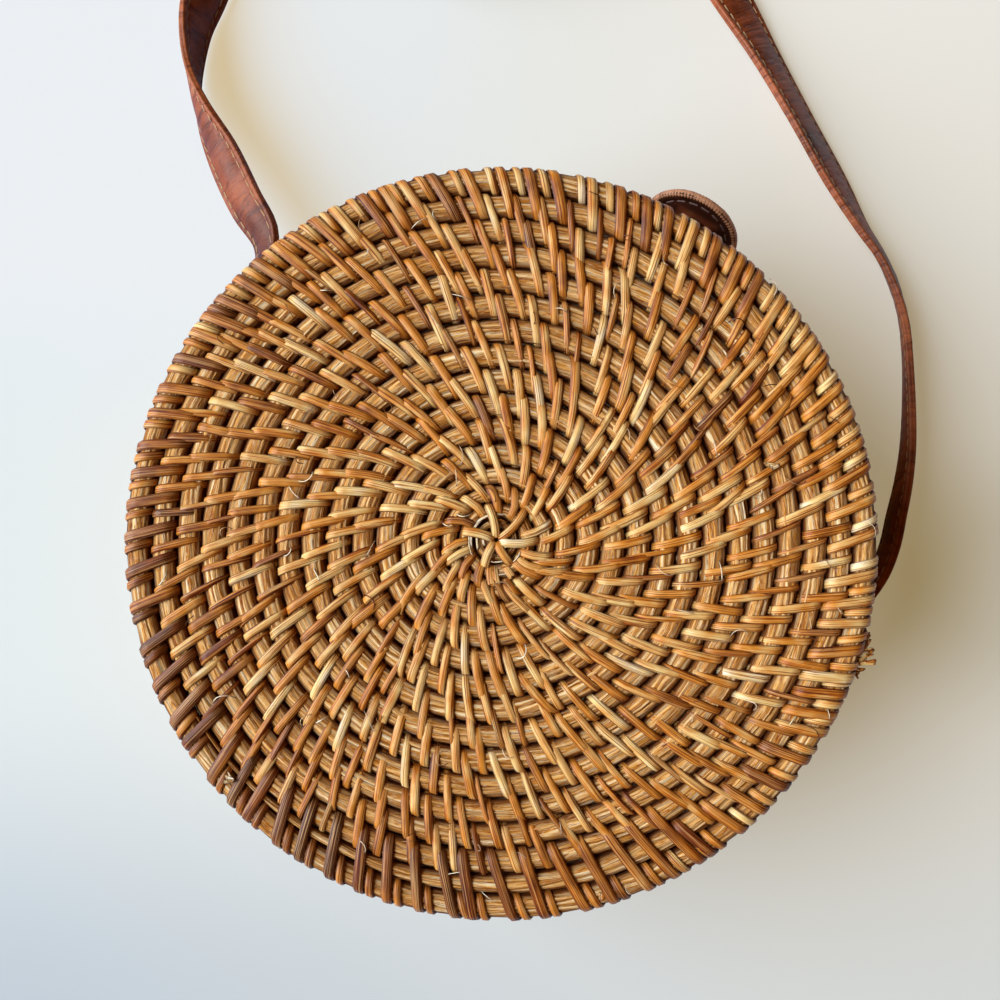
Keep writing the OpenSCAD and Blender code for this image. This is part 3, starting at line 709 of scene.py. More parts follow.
# Ways ahead, across its width and out of one face
def strapFrames(even):
    ahead = unit(np.gradient(even[:, :3], axis=0))
    left = unit(np.stack([-ahead[:, 1], ahead[:, 0], np.zeros(len(ahead))], axis=1))
    up = np.cross(ahead, left)
    lean = np.radians(even[:, 3:4])
    return ahead, up * np.cos(lean) + left * np.sin(lean), left * np.cos(lean) - up * np.sin(lean)


# The strap's section: each face is flat with two sewing grooves, and both borders are rounded and creased
def strapOutline(halfWidth, halfThick, seam):
    half = [(0, 0), (seam / 2, 0)] + [(seam + w, t) for w, t in strap["groove"]]
    border = [(halfWidth - w, t) for w, t in strap["border"]]
    half = [(w, halfThick - t) for w, t in half + border[:1]]
    edge = [(w, halfThick - t) for w, t in border[1:]]
    edge = edge + [(halfWidth - strap["edgeGroove"], 0)] + [(w, -t) for w, t in reversed(edge)]
    face = [(-w, t) for w, t in reversed(half[1:])] + half
    outline = face + edge + [(w, -t) for w, t in reversed(face)] + [(-w, -t) for w, t in edge]
    return np.array(outline + outline[:1])


def makeStrap():
    along, even = strapCurve()
    ahead, wide, thick = strapFrames(even)
    halfWidth, halfThick = strap["width"] / 2, strap["thickness"] / 2
    seam = halfWidth - strap["stitchInset"]
    outline = strapOutline(halfWidth, halfThick, seam)
    across = outline[:, 0]
    # Between the stitch lines the leather is puffed, most where it has been crumpled
    random = np.random.default_rng(3)
    crumpled = np.interp(along, *zip(*strap["crumpled"]))
    sway = 1 + strap["puffSway"] * wander(along, 1, strap["puffWave"], random)[:, 0]
    swell = strap["puff"] + strap["crumpledPuff"] * crumpled * sway
    puff = np.clip(1 - (across / (seam - strap["puffInset"])) ** 2, 0, 1) * swell[:, None]
    slant = strap["slant"] * across + strap["slantSway"] * wander(along, 1, strap["slantWave"], random)
    slant = (along[:, None] + slant) * strap["creaseRate"]
    creased = np.sin(slant) + strap["secondCrease"] * np.sin(2 * slant + 1)
    creased = crumpled[:, None] * creased * strap["crease"]
    puff = (puff + creased * np.clip(1 - (across / seam) ** 2, 0, 1)) * np.sign(outline[:, 1])
    # Each end is cut with rounded corners and then closed
    ends = np.minimum(along, along[-1] - along) / (2 * strap["step"])
    share = strap["endShare"] + (1 - strap["endShare"]) * np.sqrt(np.minimum(ends, 1))
    points = (even[:, None, :3] + wide[:, None] * across[None, :, None] * share[:, None, None]
              + thick[:, None] * (outline[None, :, 1] + puff)[..., None])
    tips = np.repeat(even[[0, -1], None, :3], len(outline), 1)
    points = np.concatenate([tips[:1], points, tips[1:]])
    reach = np.concatenate([along[:1], along, along[-1:]])
    # The borders are painted lighter, partly rubbed wear and partly a painted highlight, and the foot by the
    # bag is painted dark as painted shade
    wear = np.clip((np.abs(across) - halfWidth + strap["wornFrom"]) / strap["wornOver"], 0, 1) * strap["wear"]
    piece = wrapGrid("shoulder_strap", points, reach, reachAlong(outline),
                     wear=wear * (np.abs(outline[:, 1]) > strap["wornAbove"]),
                     inside=np.interp(reach, *zip(*strap["folded"]))[:, None])
    finishPiece(piece, "back_tray", strapMaterial, "strap_leather", "strap_run_left", "strap_roll",
                "strap_run_right")

    # Two rows of stitches on each face
    spacing = strap["stitchSpacing"]
    marks = np.arange(spacing, along[-1] - spacing / 2, spacing)
    middle, way, sideways, out = [interpAll(marks, along, values)
                                  for values in (even[:, :3], ahead, wide, thick)]
    sideways, out = unit(sideways), unit(out)
    level = halfThick - dict(strap["groove"])[0] + strap["stitchRise"]
    rows = [(middle + sideways * row * seam + out * side * level, way, out * side)
            for row in (-1, 1) for side in (-1, 1)]
    stitching = layThread("strap_stitching", *[np.vstack(parts) for parts in zip(*rows)],
                          strap["stitchLength"], strap["threadThickness"])
    finishPiece(stitching, "back_tray", threadMaterial, "strap_leather")
    print("strap made, length", round(along[-1], 1), "mm")


makeStrap()


# Coiled cores

core = {
    "strands": 7, "perStrand": 4, "hidden": 6, "slack": .02, "turnsOfGrain": 2.8,
    # Strands wander sideways and swell by these shares, in waves of these lengths
    "drift": .4, "driftWave": 48, "swell": .7, "swellWave": 40, "shake": .12, "shakeWave": 90,
    # Their height, how rounded they are, how deep they lie and how dark the painted shade is between and
    # under them
    "crest": .22, "roundness": .7, "sunk": .6, "hiddenSunk": .4, "between": .5, "under": .3,
    # The flanks are painted with shade from this cosine on, over this much of it
    "stain": .95, "shadeFrom": .52, "shadeOver": .4, "shadePower": 1.2,
    # Steps between rings: the inner rows have the first share of them at least
    "ringStep": 2.9, "leastStep": .3, "wholeStepFrom": 260, "leastRadius": 8, "hoopFade": 30,
    "seen": (-20, 200),  # the part of the section that shows its stems, in degrees from the outer side
    "widened": [10.35, 15.1, 20.35], "ringCuts": 216, "knotCuts": 49,
    # Radius, half width and depth of each of the knot's rings
    "knotRings": [(1.15, .85, .6), (3.05, .85, .6), (5.4, 1.33, 0)], "knotThinner": .15,
}


# Rows climbed after so many turns: flat rows joined by a smooth step at the start of each turn
def climbed(turns, step):
    turns = np.asarray(turns, float)
    whole = np.floor(turns)
    return whole - 1 + smooth(np.minimum(1, (turns - whole) / step))


def rowLow(turns, start, pitch, step):
    return np.maximum(start, start + pitch * climbed(turns, step))


def rowHigh(turns, start, pitch, step, rows):
    return np.minimum(start + rows * pitch, start + pitch * (climbed(turns, step) + 1)) - bag["rowGap"]


def trayPoints(tray, radius, height, angle):
    z = height if tray["flip"] > 0 else bag["depth"] - height
    aside = bag["aside"] * np.exp(-(radius / bag["asideReach"]) ** 2)
    y = tray["flip"] * radius * np.sin(angle)
    return np.stack(np.broadcast_arrays(radius * np.cos(angle) + aside, y, z), -1)


def trayWays(tray, outwards, upwards, angle):
    return np.stack(np.broadcast_arrays(outwards * np.cos(angle), tray["flip"] * outwards * np.sin(angle),
                                        tray["flip"] * upwards), -1)


# The first rows of a face are narrower than the rest, round a wider knot, as the photograph shows
def widen(radius):
    edges = bag["faceStart"] - bag["rowGap"] / 2 + bag["facePitch"] * np.arange(5)
    far = 2 * bag["radius"]
    return np.interp(radius, [0, *edges, far], [0, *core["widened"], *edges[3:], far])


# Angles, heights and painted shade of the ribs round a bundle's section, each with a value for every ring
def bundleRibs(along, fade, random):
    strands, (first, last) = core["strands"], core["seen"]
    bounds = np.linspace(first, last, strands + 1)
    drift = wander(along, strands + 1, core["driftWave"], random) * fade
    drift *= core["drift"] * (last - first) / strands
    drift[:, [0, -1]] = 0
    crest = 1 + core["swell"] * wander(along, strands, core["swellWave"], random) * fade
    ribs = []
    for strand in range(strands):
        low, high = bounds[strand] + drift[:, strand], bounds[strand + 1] + drift[:, strand + 1]
        for part in range(core["perStrand"]):
            share = part / core["perStrand"]
            bulge = math.sin(math.pi * share) ** core["roundness"]
            height = core["crest"] * (bulge * crest[:, strand] - core["sunk"])
            # Painted shade between the strands
            ribs.append((low + (high - low) * share, height, 0 if part else core["between"]))
    for part in range(core["hidden"]):
        angle = last + (360 + first - last) * part / core["hidden"]
        ribs.append((angle, -core["crest"] * core["hiddenSunk"], core["under"]))
    ribs.append((ribs[0][0] + 360, *ribs[0][1:]))
    angles, heights, gapShades = [np.stack([np.broadcast_to(rib, len(along)) for rib in parts], 1)
                                for parts in zip(*ribs)]
    return np.radians(angles), heights, gapShades


# A bundle of stems along a path. The section is given by its two half sizes, and its ribs wander.
# turn is each ring's angle, and the bundle lies in a face or, with wall, in the side of the bag
def makeBundle(tray, part, node, turn, radius, height, halfWidth, halfThick, random, wall=False, closed=False,
               warp=None):
    radius, height, halfWidth, halfThick = [np.broadcast_to(size, len(turn))[:, None]
                                            for size in (radius, height, halfWidth, halfThick)]
    along = np.concatenate([[0], np.cumsum(np.abs(np.diff(turn)) * np.maximum(radius[:-1, 0], 4))])
    # Both ends of a closed hoop meet
    fade = np.clip(np.minimum(along, along[-1] - along) / core["hoopFade"], 0, 1)[:, None] if closed else 1
    angles, heights, gapShades = bundleRibs(along, fade, random)
    # Both flanks of a row, and its underside, are painted dark with shade, where it lies against the next one
    flank = np.clip((np.abs(np.cos(angles)) - core["shadeFrom"]) / core["shadeOver"], 0, 1)
    flank = flank ** core["shadePower"]
    gapShades = np.maximum(gapShades, np.where(np.sin(angles) < .3, 1, flank) * core["stain"])
    shake = wander(along, 2, core["shakeWave"], random) * core["shake"] * fade
    across = (halfWidth - core["slack"] + np.minimum(heights, halfWidth * .3)) * np.cos(angles) + shake[:, :1]
    out = (halfThick + heights) * np.sin(angles) + shake[:, 1:]
    radius, height = (radius + out, height + across) if wall else (radius + across, height - out)
    points = trayPoints(tray, warp(radius) if warp else radius, height, turn[:, None])
    if closed:
        points[-1] = points[0]
    else:
        tips = points[[0, -1]].mean(1, keepdims=True).repeat(points.shape[1], 1)
        points = np.concatenate([tips[:1], points, tips[1:]])
        along = np.concatenate([along[:1], along, along[-1:]])
        gapShades = np.concatenate([gapShades[:1], gapShades, gapShades[-1:]])
    around = np.linspace(0, fullTurn * core["turnsOfGrain"], points.shape[1])
    # The groove mark carries the painted shade
    piece = wrapGrid(tray["name"] + part, points, along, around, groove=gapShades)
    finishPiece(piece, tray["body"], strawMaterial, "straw_core", tray["name"] + node)


# A coil's rings, from one thin end to the other, with the middle and half width of its row at each
def coilRows(coil, rows, radius):
    step = coil[2]
    turns = [bag["tail"] * step]
    high = rows + step * (1 - bag["tail"])
    # Rings are evenly spaced along the length, so they are closer in angle on the outer rows
    while turns[-1] < high:
        around = fullTurn * radius(turns[-1])
        share = min(1, core["leastStep"] + around / core["wholeStepFrom"])
        turns.append(turns[-1] + core["ringStep"] * share / around)
    turns = np.array(turns[:-1] + [high])
    low, high = rowLow(turns, *coil), rowHigh(turns, *coil, rows)
    return turns, (low + high) / 2, (high - low) / 2


def makeCores(tray):
    random = np.random.default_rng(tray["seed"])
    halfCore = bag["core"] / 2
    middle = bag["rimHeight"] - halfCore
    turns, row, half = coilRows(faceCoil, bag["faceRows"],
                                lambda t: max(core["leastRadius"], float(rowLow(t, *faceCoil))))
    angles = math.radians(bag["faceAngle"]) + fullTurn * turns
    makeBundle(tray, "_face_core", "_face_coil", angles, row, middle, half, halfCore, random, warp=widen)

    # The knot is a few tight rings of the same grass, and the outermost one is as high as the rows
    turn = np.linspace(0, fullTurn, core["knotCuts"])
    for ring, (radius, halfWidth, sunk) in enumerate(core["knotRings"]):
        makeBundle(tray, f"_knot_{ring}", "_centre_knot", turn, radius, middle + sunk, halfWidth,
                   halfCore - core["knotThinner"], random, closed=True, warp=widen)

    turns, row, half = coilRows(wallCoil, bag["wallRows"], lambda t: bag["wallOuter"])
    angles = math.radians(bag["wallAngle"]) + fullTurn * turns
    makeBundle(tray, "_wall_core", "_wall_coil", angles, bag["wallOuter"] - halfCore, row, half, halfCore,
               random, wall=True)

    turn = np.linspace(0, fullTurn, core["ringCuts"])
    makeBundle(tray, "_rim_core", "_rim_hoop", turn, bag["rimMiddle"], bag["rimCentre"], bag["rimHalfWidth"],
               bag["rimHalfThick"], random, closed=True)
    halfMouth = bag["mouthThickness"] / 2
    makeBundle(tray, "_mouth_core", "_mouth_hoop", turn, bag["wallOuter"] - halfMouth, bag["mouthMiddle"],
               bag["mouthHalf"], halfMouth, random, wall=True, closed=True)
    print(tray["name"], "cores made")


# Cane stitches

stitch = {
    "width": 2.42, "thickness": .95, "spacing": 7.3, "widest": 9.1, "lean": .3, "bridge": .25,
    # Where a stitch stands between two of the lap before, alone or with a second one, and the least shares
    # that it keeps from them. It keeps to its own place by one share and to even spacing by the rest
    "share": .7, "twoShares": (.2, .72), "shareSway": .05, "leastAfter": .12, "leastBefore": .08, "own": .68,
    # Near the knot they stand closer: shares of the widest gap and of the spacing there
    "closeWidest": .72, "closeSpacing": .7, "evenFrom": 60,
    # A strip's angles over its first and its second row, and the number of its points there
    "firstRow": (225, 95, 5), "secondRow": (85, -45, 6), "wrapSlack": .04,
    "sink": 1.1, "sinkPower": 1.6, "tuck": .1,
    "rimWidth": 2.95, "rimWrapWidth": 2.3, "rimEnd": -58, "mouthEnd": -75, "wallLap": 84,
    "rimWrap": (205, -65), "mouthWrap": (230, -118), "rimRadius": 97, "brownSide": 72,
    # Where the photograph shows the knot, the ends of the strips over it and the first strips round it,
    # in its pixels
    "knotMiddle": (496, 539.5),
    "knotEnds": [(537, 538), (524, 508), (487, 504), (463, 530), (484, 565), (510, 562)],
    "knotWidth": 2.45, "knotGap": 4.05, "knotTurn": .22,
    "firstLap": [(499, 512), (512, 515.5), (525, 534.5), (523, 552.5), (513.5, 556), (515, 564), (504, 566),
                 (493, 564), (488.5, 568), (477.5, 566), (478, 550), (463, 549), (470.5, 538), (478, 526),
                 (485, 515.5)],
    # A strip over the knot: how far out it is, as a share of its reach of 7.5, and how deep
    "knotReach": 7.5, "knotAlong": [.8, .8, .9, 1.3, 2.1, 3.2, 4.3, 5.3, 6.4, 7.2, 7.5, 7.4],
    "knotDepth": [4.5, 3, 1.7, .95, .6, .5, .48, .5, .6, 1.1, 2.2, 4],
    "shavings": 16,
}
photo = {"middle": (501.5, 543.5), "pixelsPerMm": 3.765}
levelTilt = np.array([0., -1.])  # of a strip that lies level on a face
endToEnd = np.linspace(-1, 1, stitchStations)


# The way of a strip over a row, in section: along the row's width and down from the bag's surface
def rowCurve(middle, halfWidth, halfThick, depth, start, end, count):
    angle = np.radians(np.linspace(start, end, count))
    across = middle[:, None] + halfWidth[:, None] * np.cos(angle)
    down = depth - halfThick * np.sin(angle) + 0 * across
    tilt = np.stack([np.cos(angle) * halfThick + 0 * across, -np.sin(angle) * halfWidth[:, None]], axis=-1)
    return across, down, unit(tilt)


# A strip that starts in the gap at low, crosses the next gap at between and ends in the one at high, or over
# a last row that is given by its middle, half width, half thickness, depth and the angle where the strip ends
def overTwoRows(low, between, high, last=None):
    away = stitch["thickness"] / 2
    depth = bag["rimHeight"] - bag["core"] / 2
    less = bag["rowGap"] / 2 - away * stitch["tuck"]
    halfThick = bag["core"] / 2 + away
    start, end, count = stitch["secondRow"]
    first = rowCurve((low + between) / 2, (between - low) / 2 - less, halfThick, depth, *stitch["firstRow"])
    middle, halfWidth = (between + high) / 2, (high - between) / 2 - less
    if last:
        middle, halfWidth, halfThick, depth, end = last
        middle, halfWidth, halfThick = middle + 0 * low, halfWidth + away + 0 * low, halfThick + away
    second = rowCurve(middle, halfWidth, halfThick, depth, start, end, count)
    level = np.maximum(first[1][:, -1], second[1][:, 0]) + stitch["bridge"]
    bridge = (between[:, None], level[:, None], np.tile(levelTilt, (len(low), 1, 1)))
    return [np.concatenate([first[k], bridge[k], second[k]], axis=1) for k in range(3)]


# Turns of all the stitches on a coil: each lies between two of the lap before, nearer to the later one,
# and where these stand too far apart two go in
def stitchTurns(firstLap, end, radiusAt, random):
    turns = list(firstLap)
    at = 0
    while turns[-1] <= end:
        around = fullTurn * radiusAt(turns[at] + 1)
        back = 1 - stitch["lean"] * bag["facePitch"] / around
        here, there = turns[at] + back, turns[at + 1] + back
        close = 1 - min(1, radiusAt(here) / stitch["evenFrom"])
        one = (there - here) * around < stitch["widest"] * (1 - (1 - stitch["closeWidest"]) * close)
        for share in (stitch["share"],) if one else stitch["twoShares"]:
            free = here + (there - here) * (share + random.normal(0, stitch["shareSway"]))
            even = turns[-1] + stitch["spacing"] * (1 - (1 - stitch["closeSpacing"]) * close) / around
            wanted = free * stitch["own"] + even * (1 - stitch["own"])
            earliest = here + (there - here) * stitch["leastAfter"]
            turns.append(min(max(wanted, earliest), there - (there - here) * stitch["leastBefore"]))
        at += 1
    return np.array(turns)


# Tangential places along a strip, as angles, from its length in section
def leaning(turnStart, across, down, radius, lean):
    reach = reachAlong(np.stack([across, down], axis=-1))
    return turnStart[:, None] - lean[:, None] * (reach - reach[:, 2:3]) / radius


def faceWay(tray, across, down, tilt, angle):
    return trayPoints(tray, across, down, angle), trayWays(tray, tilt[..., 0], tilt[..., 1], angle)


# A section of the wall goes along its height and in from the surface
def wallWay(tray, across, down, tilt, angle):
    paths = trayPoints(tray, bag["radius"] - down, across, angle)
    return paths, trayWays(tray, -tilt[..., 1], tilt[..., 0], angle)


def stitchLooks(count, radius, random):
    share = np.clip((radius - 40) / 60, 0, 1)
    tones = np.clip(.4 + random.normal(0, 1, count) * (.08 + .05 * share) + .08 * share, .16, 1)
    reddish = random.random(count) < .1 + .16 * share
    tones = np.where(reddish, np.clip(tones + .1, 0, 1), tones)
    blush = np.where(reddish, random.uniform(.2, .5, count), random.uniform(0, .12, count))
    # Reddish strips are thinner and lie rolled on their edge
    widths = np.where(reddish, random.uniform(.62, .85, count), random.uniform(.9, 1.12, count))
    turned = random.choice([-1, 1], count) * random.uniform(.2, .55, count)
    return tones, blush, stitch["width"] * widths, np.where(reddish, turned, random.normal(0, .07, count))


def makeFaceStitches(tray):
    random = np.random.default_rng(tray["seed"] + 100)
    start = math.radians(bag["faceAngle"])

    def gapAt(turns):
        gaps = rowLow(turns, *faceCoil) - bag["rowGap"] / 2
        return np.where(np.asarray(turns) < 0, stitch["knotGap"], gaps)

    last = bag["faceRows"] + 1  # the row that is low at turn t lies at t + 1 once it has climbed
    # The first lap also crosses the outer ring of the knot, where the photograph shows it
    lap = [(placeInView(x, y, stitch["knotMiddle"])[1] - start) / fullTurn % 1 - 1
           for x, y in stitch["firstLap"]]
    turns = stitchTurns(sorted(lap), last - 1, lambda t: float(widen(gapAt(t))), random)
    turns = turns[turns <= last - 1]
    rimmed = turns > last - 2
    plain = turns[~rimmed]
    count = len(plain)
    across, down, tilt = overTwoRows(gapAt(plain), gapAt(plain + 1), gapAt(np.minimum(plain + 2, last)))
    lean = stitch["lean"] + random.normal(0, .07, count)
    angle = leaning(start + fullTurn * plain, across, down, widen(across.mean(1, keepdims=True)), lean)
    lift = random.uniform(0, .16, count)[:, None] * (down < 2.5)
    # The inner end is pulled into the row below it
    sink = stitch["sink"] * np.linspace(1, 0, stitchStations) ** stitch["sinkPower"]
    way = faceWay(tray, widen(across), down + sink - lift, tilt, angle)
    tones, blush, widths, rolls = stitchLooks(count, across.mean(1), random)
    heights = stitch["thickness"] * random.uniform(.9, 1.08, count)
    layCane(tray["name"] + "_face_stitches", tray["body"], way, widths, heights, tones, blush, rolls)
    print(tray["name"], "face stitches:", count)
    return start + fullTurn * turns[rimmed], gapAt(turns[rimmed]), gapAt(turns[rimmed] + 1), random


# A place in the photograph, in its pixels, as radius and angle on the front
def placeInView(x, y, middle=photo["middle"]):
    across, upwards = (x - middle[0]) / photo["pixelsPerMm"], (middle[1] - y) / photo["pixelsPerMm"]
    turned = math.radians(studio["cameraTurn"])
    side = across * math.cos(turned) - upwards * math.sin(turned)
    ahead = across * math.sin(turned) + upwards * math.cos(turned)
    return math.hypot(side, ahead), math.atan2(-ahead, side)


# A few strips cross the knot from its middle, and thin shavings lie curled round it, dark and pale
def makeCentreStrips(tray):
    random = np.random.default_rng(tray["seed"] + 200)
    ends = [placeInView(x, y, stitch["knotMiddle"]) for x, y in stitch["knotEnds"]]
    far, angle = np.array(ends).T[..., None]
    count = len(far)
    along, depth = np.array(stitch["knotAlong"]), np.array(stitch["knotDepth"])
    across = along / stitch["knotReach"] * far
    slope = unit(np.stack([np.gradient(along), np.gradient(depth)], axis=1))
    turned = angle - stitch["knotTurn"] * (across - far) / 7
    lift = random.uniform(-.1, .15, (count, 1)) * (depth < 1)
    way = faceWay(tray, across, depth - lift, slope[:, ::-1] * [1, -1], turned)
    layCane(tray["name"] + "_centre_strips", tray["body"], way,
            stitch["knotWidth"] * random.uniform(.9, 1.08, count), stitch["thickness"],
            np.clip(random.normal(.3, .06, count), 0, 1), random.uniform(0, .1, count))
    count = stitch["shavings"]
    radius = random.uniform(2.8, 8.8, (count, 1))
    turned = random.uniform(0, fullTurn, (count, 1))
    turned = turned + random.uniform(.5, 1.4, (count, 1)) * np.linspace(0, 1, stitchStations)
    across = radius + random.uniform(-.5, .5, (count, 1)) * endToEnd ** 2
    way = faceWay(tray, across, 1 + .2 * np.sin(turned * 3) + 1.2 * endToEnd ** 6, levelTilt, turned)
    layCane(tray["name"] + "_knot_shavings", tray["body"], way, random.uniform(.4, .9, count), .5,
            np.where(np.arange(count) % 3 == 0, .6, .05), 0)


# Each rim stitch crosses the last row and the rim, and a short pale wrap lies beside it
def makeRimStitches(tray, turns, low, between, random):
    rim = (bag["rimMiddle"], bag["rimHalfWidth"], bag["rimHalfThick"], bag["rimCentre"])
    count = len(turns)
    across, down, tilt = overTwoRows(low, between, between, (*rim, stitch["rimEnd"]))
    lean = stitch["lean"] + random.normal(0, .05, count)
    angle = leaning(turns, across, down, 92, lean)
    # As in the photograph, the rim is browner on one side of the bag
    side = .5 - .5 * np.cos(tray["flip"] * turns - math.radians(stitch["brownSide"]))
    tones = np.clip(random.normal(.48, .1, count) + .42 * side ** 2, 0, 1)
    blush = random.uniform(0, .25, count) + .35 * side * (random.random(count) < .5)
    layCane(tray["name"] + "_rim_stitches", tray["body"], faceWay(tray, across, down, tilt, angle),
            stitch["rimWidth"] * random.uniform(.92, 1.06, count), stitch["thickness"], tones, blush)

    away = stitch["thickness"] / 2 - stitch["wrapSlack"]
    across, down, tilt = rowCurve(np.full(count, rim[0]), np.full(count, rim[1] + away), rim[2] + away,
                                  rim[3], *stitch["rimWrap"], stitchStations)
    beside = (stitch["rimWidth"] + stitch["rimWrapWidth"]) / 2
    reach = reachAlong(np.stack([across, down], axis=-1))
    angle = angle[:, 7:8] - (beside + lean[:, None] * (reach - reach[:, 5:6])) / stitch["rimRadius"]
    tones = np.clip(random.normal(.34, .09, count) + .36 * side ** 2, .16, 1)
    layCane(tray["name"] + "_rim_wraps", tray["body"], faceWay(tray, across, down, tilt, angle),
            stitch["rimWrapWidth"] * random.uniform(.9, 1.05, count), stitch["thickness"] * .9, tones,
            random.uniform(0, .15, count))
    print(tray["name"], "rim stitches:", count)


def makeWallStitches(tray):
    random = np.random.default_rng(tray["seed"] + 300)
    start = math.radians(bag["wallAngle"])
    last = bag["wallRows"] + 1

    def gapAt(turns):
        return rowLow(turns, *wallCoil) - bag["rowGap"] / 2

    lap = np.arange(stitch["wallLap"]) / stitch["wallLap"] + random.normal(0, .0007, stitch["wallLap"])
    turns = stitchTurns(lap, last - 1, lambda t: bag["radius"], random)
    turns = turns[turns <= last - 1]
    topmost = turns > last - 2
    plain = turns[~topmost]
    count = len(plain)
    lift = bag["wrap"] - (bag["rimHeight"] - bag["core"])
    across, down, tilt = overTwoRows(gapAt(plain), gapAt(plain + 1), gapAt(np.minimum(plain + 2, last)))
    angle = leaning(start + fullTurn * plain, across, down, bag["radius"],
                    stitch["lean"] + random.normal(0, .06, count))
    tones, blush, widths, rolls = stitchLooks(count, 95, random)
    layCane(tray["name"] + "_wall_stitches", tray["body"], wallWay(tray, across, down + lift, tilt, angle),
            widths, stitch["thickness"] * random.uniform(.92, 1.06, count), tones, blush, rolls)

    # The topmost stitches also go round the mouth row, and a short wrap lies beside each
    upper = turns[topmost]
    plainCount, count = count, len(upper)
    halfThick = bag["mouthThickness"] / 2
    depth = bag["wrap"] + halfThick - lift
    mouth = (bag["mouthMiddle"], bag["mouthHalf"], halfThick, depth, stitch["mouthEnd"])
    across, down, tilt = overTwoRows(gapAt(upper), gapAt(upper + 1), gapAt(upper + 1), mouth)
    lean = stitch["lean"] + random.normal(0, .05, count)
    angle = leaning(start + fullTurn * upper, across, down, bag["radius"], lean)
    tones, blush = stitchLooks(count, 95, random)[:2]
    layCane(tray["name"] + "_mouth_stitches", tray["body"], wallWay(tray, across, down + lift, tilt, angle),
            stitch["rimWidth"] * random.uniform(.92, 1.05, count), stitch["thickness"], tones, blush)

    away = stitch["thickness"] / 2 - stitch["wrapSlack"]
    across, down, tilt = rowCurve(np.full(count, bag["mouthMiddle"]), np.full(count, bag["mouthHalf"] + away),
                                  halfThick + away, depth, *stitch["mouthWrap"], stitchStations)
    beside = (stitch["rimWidth"] + stitch["rimWrapWidth"]) / 2
    reach = np.linspace(0, 20, stitchStations)
    angle = angle[:, 7:8] - (beside + lean[:, None] * (reach - reach[4])) / bag["radius"]
    layCane(tray["name"] + "_mouth_wraps", tray["body"], wallWay(tray, across, down + lift, tilt, angle),
            stitch["rimWrapWidth"] * random.uniform(.9, 1.05, count), stitch["thickness"] * .85,
            np.clip(random.normal(.24, .08, count), 0, 1), random.uniform(0, .15, count))
    print(tray["name"], "wall stitches:", plainCount, "mouth:", count)


# Lining

lining = {
    "baseRadius": 92.2, "baseHeight": 6.35, "bandRadius": 93.3, "bandBottom": 6.1, "bandTop": 37.5,
    "thickness": .7, "puckeredFrom": 55, "puckeredOver": 37,
    "spokes": [0, 10, 22, 34, 46, 56, 65, 73, 79, 84, 87.5, 90, 91.6], "cuts": 217,
    "pucker": .3, "sway": .18, "swayOver": 8, "hem": 6, "hemStitch": 2.2, "hemSpacing": 3.2, "hemThread": .5,
}


# A ripple that meets itself after a whole turn
def ripple(turn, random, *waves):
    return sum(np.sin(wave * turn + random.uniform(0, fullTurn)) * share for wave, share in waves) / 1.6


def makeLining(tray):
    random = np.random.default_rng(tray["seed"] + 400)
    name, body = tray["name"], tray["body"]
    turn = np.linspace(0, fullTurn, lining["cuts"])
    half = lining["thickness"] / 2
    pucker = ripple(turn, random, (31, 1), (57, .6), (89, .4)) * lining["pucker"]
    spokes = np.array([*lining["spokes"], lining["baseRadius"]])
    radius = np.concatenate([spokes, spokes[::-1]])
    side = np.repeat([1, -1], len(spokes)) * np.where(radius > 92, .5, 1)
    swell = smooth(np.clip((radius - lining["puckeredFrom"]) / lining["puckeredOver"], 0, 1))
    height = lining["baseHeight"] + (side * half)[:, None] + swell[:, None] * pucker[None]
    points = trayPoints(tray, radius[:, None], height, turn)
    base = wrapGrid(name + "_lining_base_cloth", points, points[..., 0], points[..., 1])
    finishPiece(base, body, cottonMaterial, "lining_cotton", name + "_lining_base")

    # The band round the side has a folded hem along the mouth
    low, high, hem = lining["bandBottom"], lining["bandTop"], lining["bandTop"] - lining["hem"]
    outside = [(0, z) for z in np.linspace(low + .2, high - .3, 9)]
    inside = [(lining["thickness"], high - .4), (.85, high - 1), (.85, hem + 1), (.8, hem + .2),
              (.55, hem - .1)]
    inside += [(lining["thickness"] - .1, z) for z in np.linspace(hem - 1, low + .2, 8)]
    profile = np.array(outside + [(.35, high)] + inside + [(.3, low)] + outside[:1])
    sway = ripple(turn, random, (23, 1), (41, .6)) * lining["sway"]
    sway = sway * np.clip((hem - profile[:, 1:]) / lining["swayOver"], 0, 1)
    points = trayPoints(tray, lining["bandRadius"] - profile[:, :1] - np.abs(sway), profile[:, 1:], turn)
    band = wrapGrid(name + "_lining_band_cloth", points, reachAlong(profile), turn * lining["bandRadius"])
    finishPiece(band, body, cottonMaterial, "lining_cotton", name + "_lining_band")
    count = round(fullTurn * lining["bandRadius"] / lining["hemSpacing"])
    turn = np.linspace(0, fullTurn, count, endpoint=False)
    inwards = trayWays(tray, -1., 0., turn)
    middles = trayPoints(tray, lining["bandRadius"] - .87, hem + 1.4, turn)
    hemThread = layThread(name + "_lining_hem_stitching", middles, np.cross(inwards, [0, 0, 1]), inwards,
                          lining["hemStitch"], lining["hemThread"])
    finishPiece(hemThread, body, threadMaterial, "lining_cotton")
    print(name, "lining made")


# Leather patches and the tab

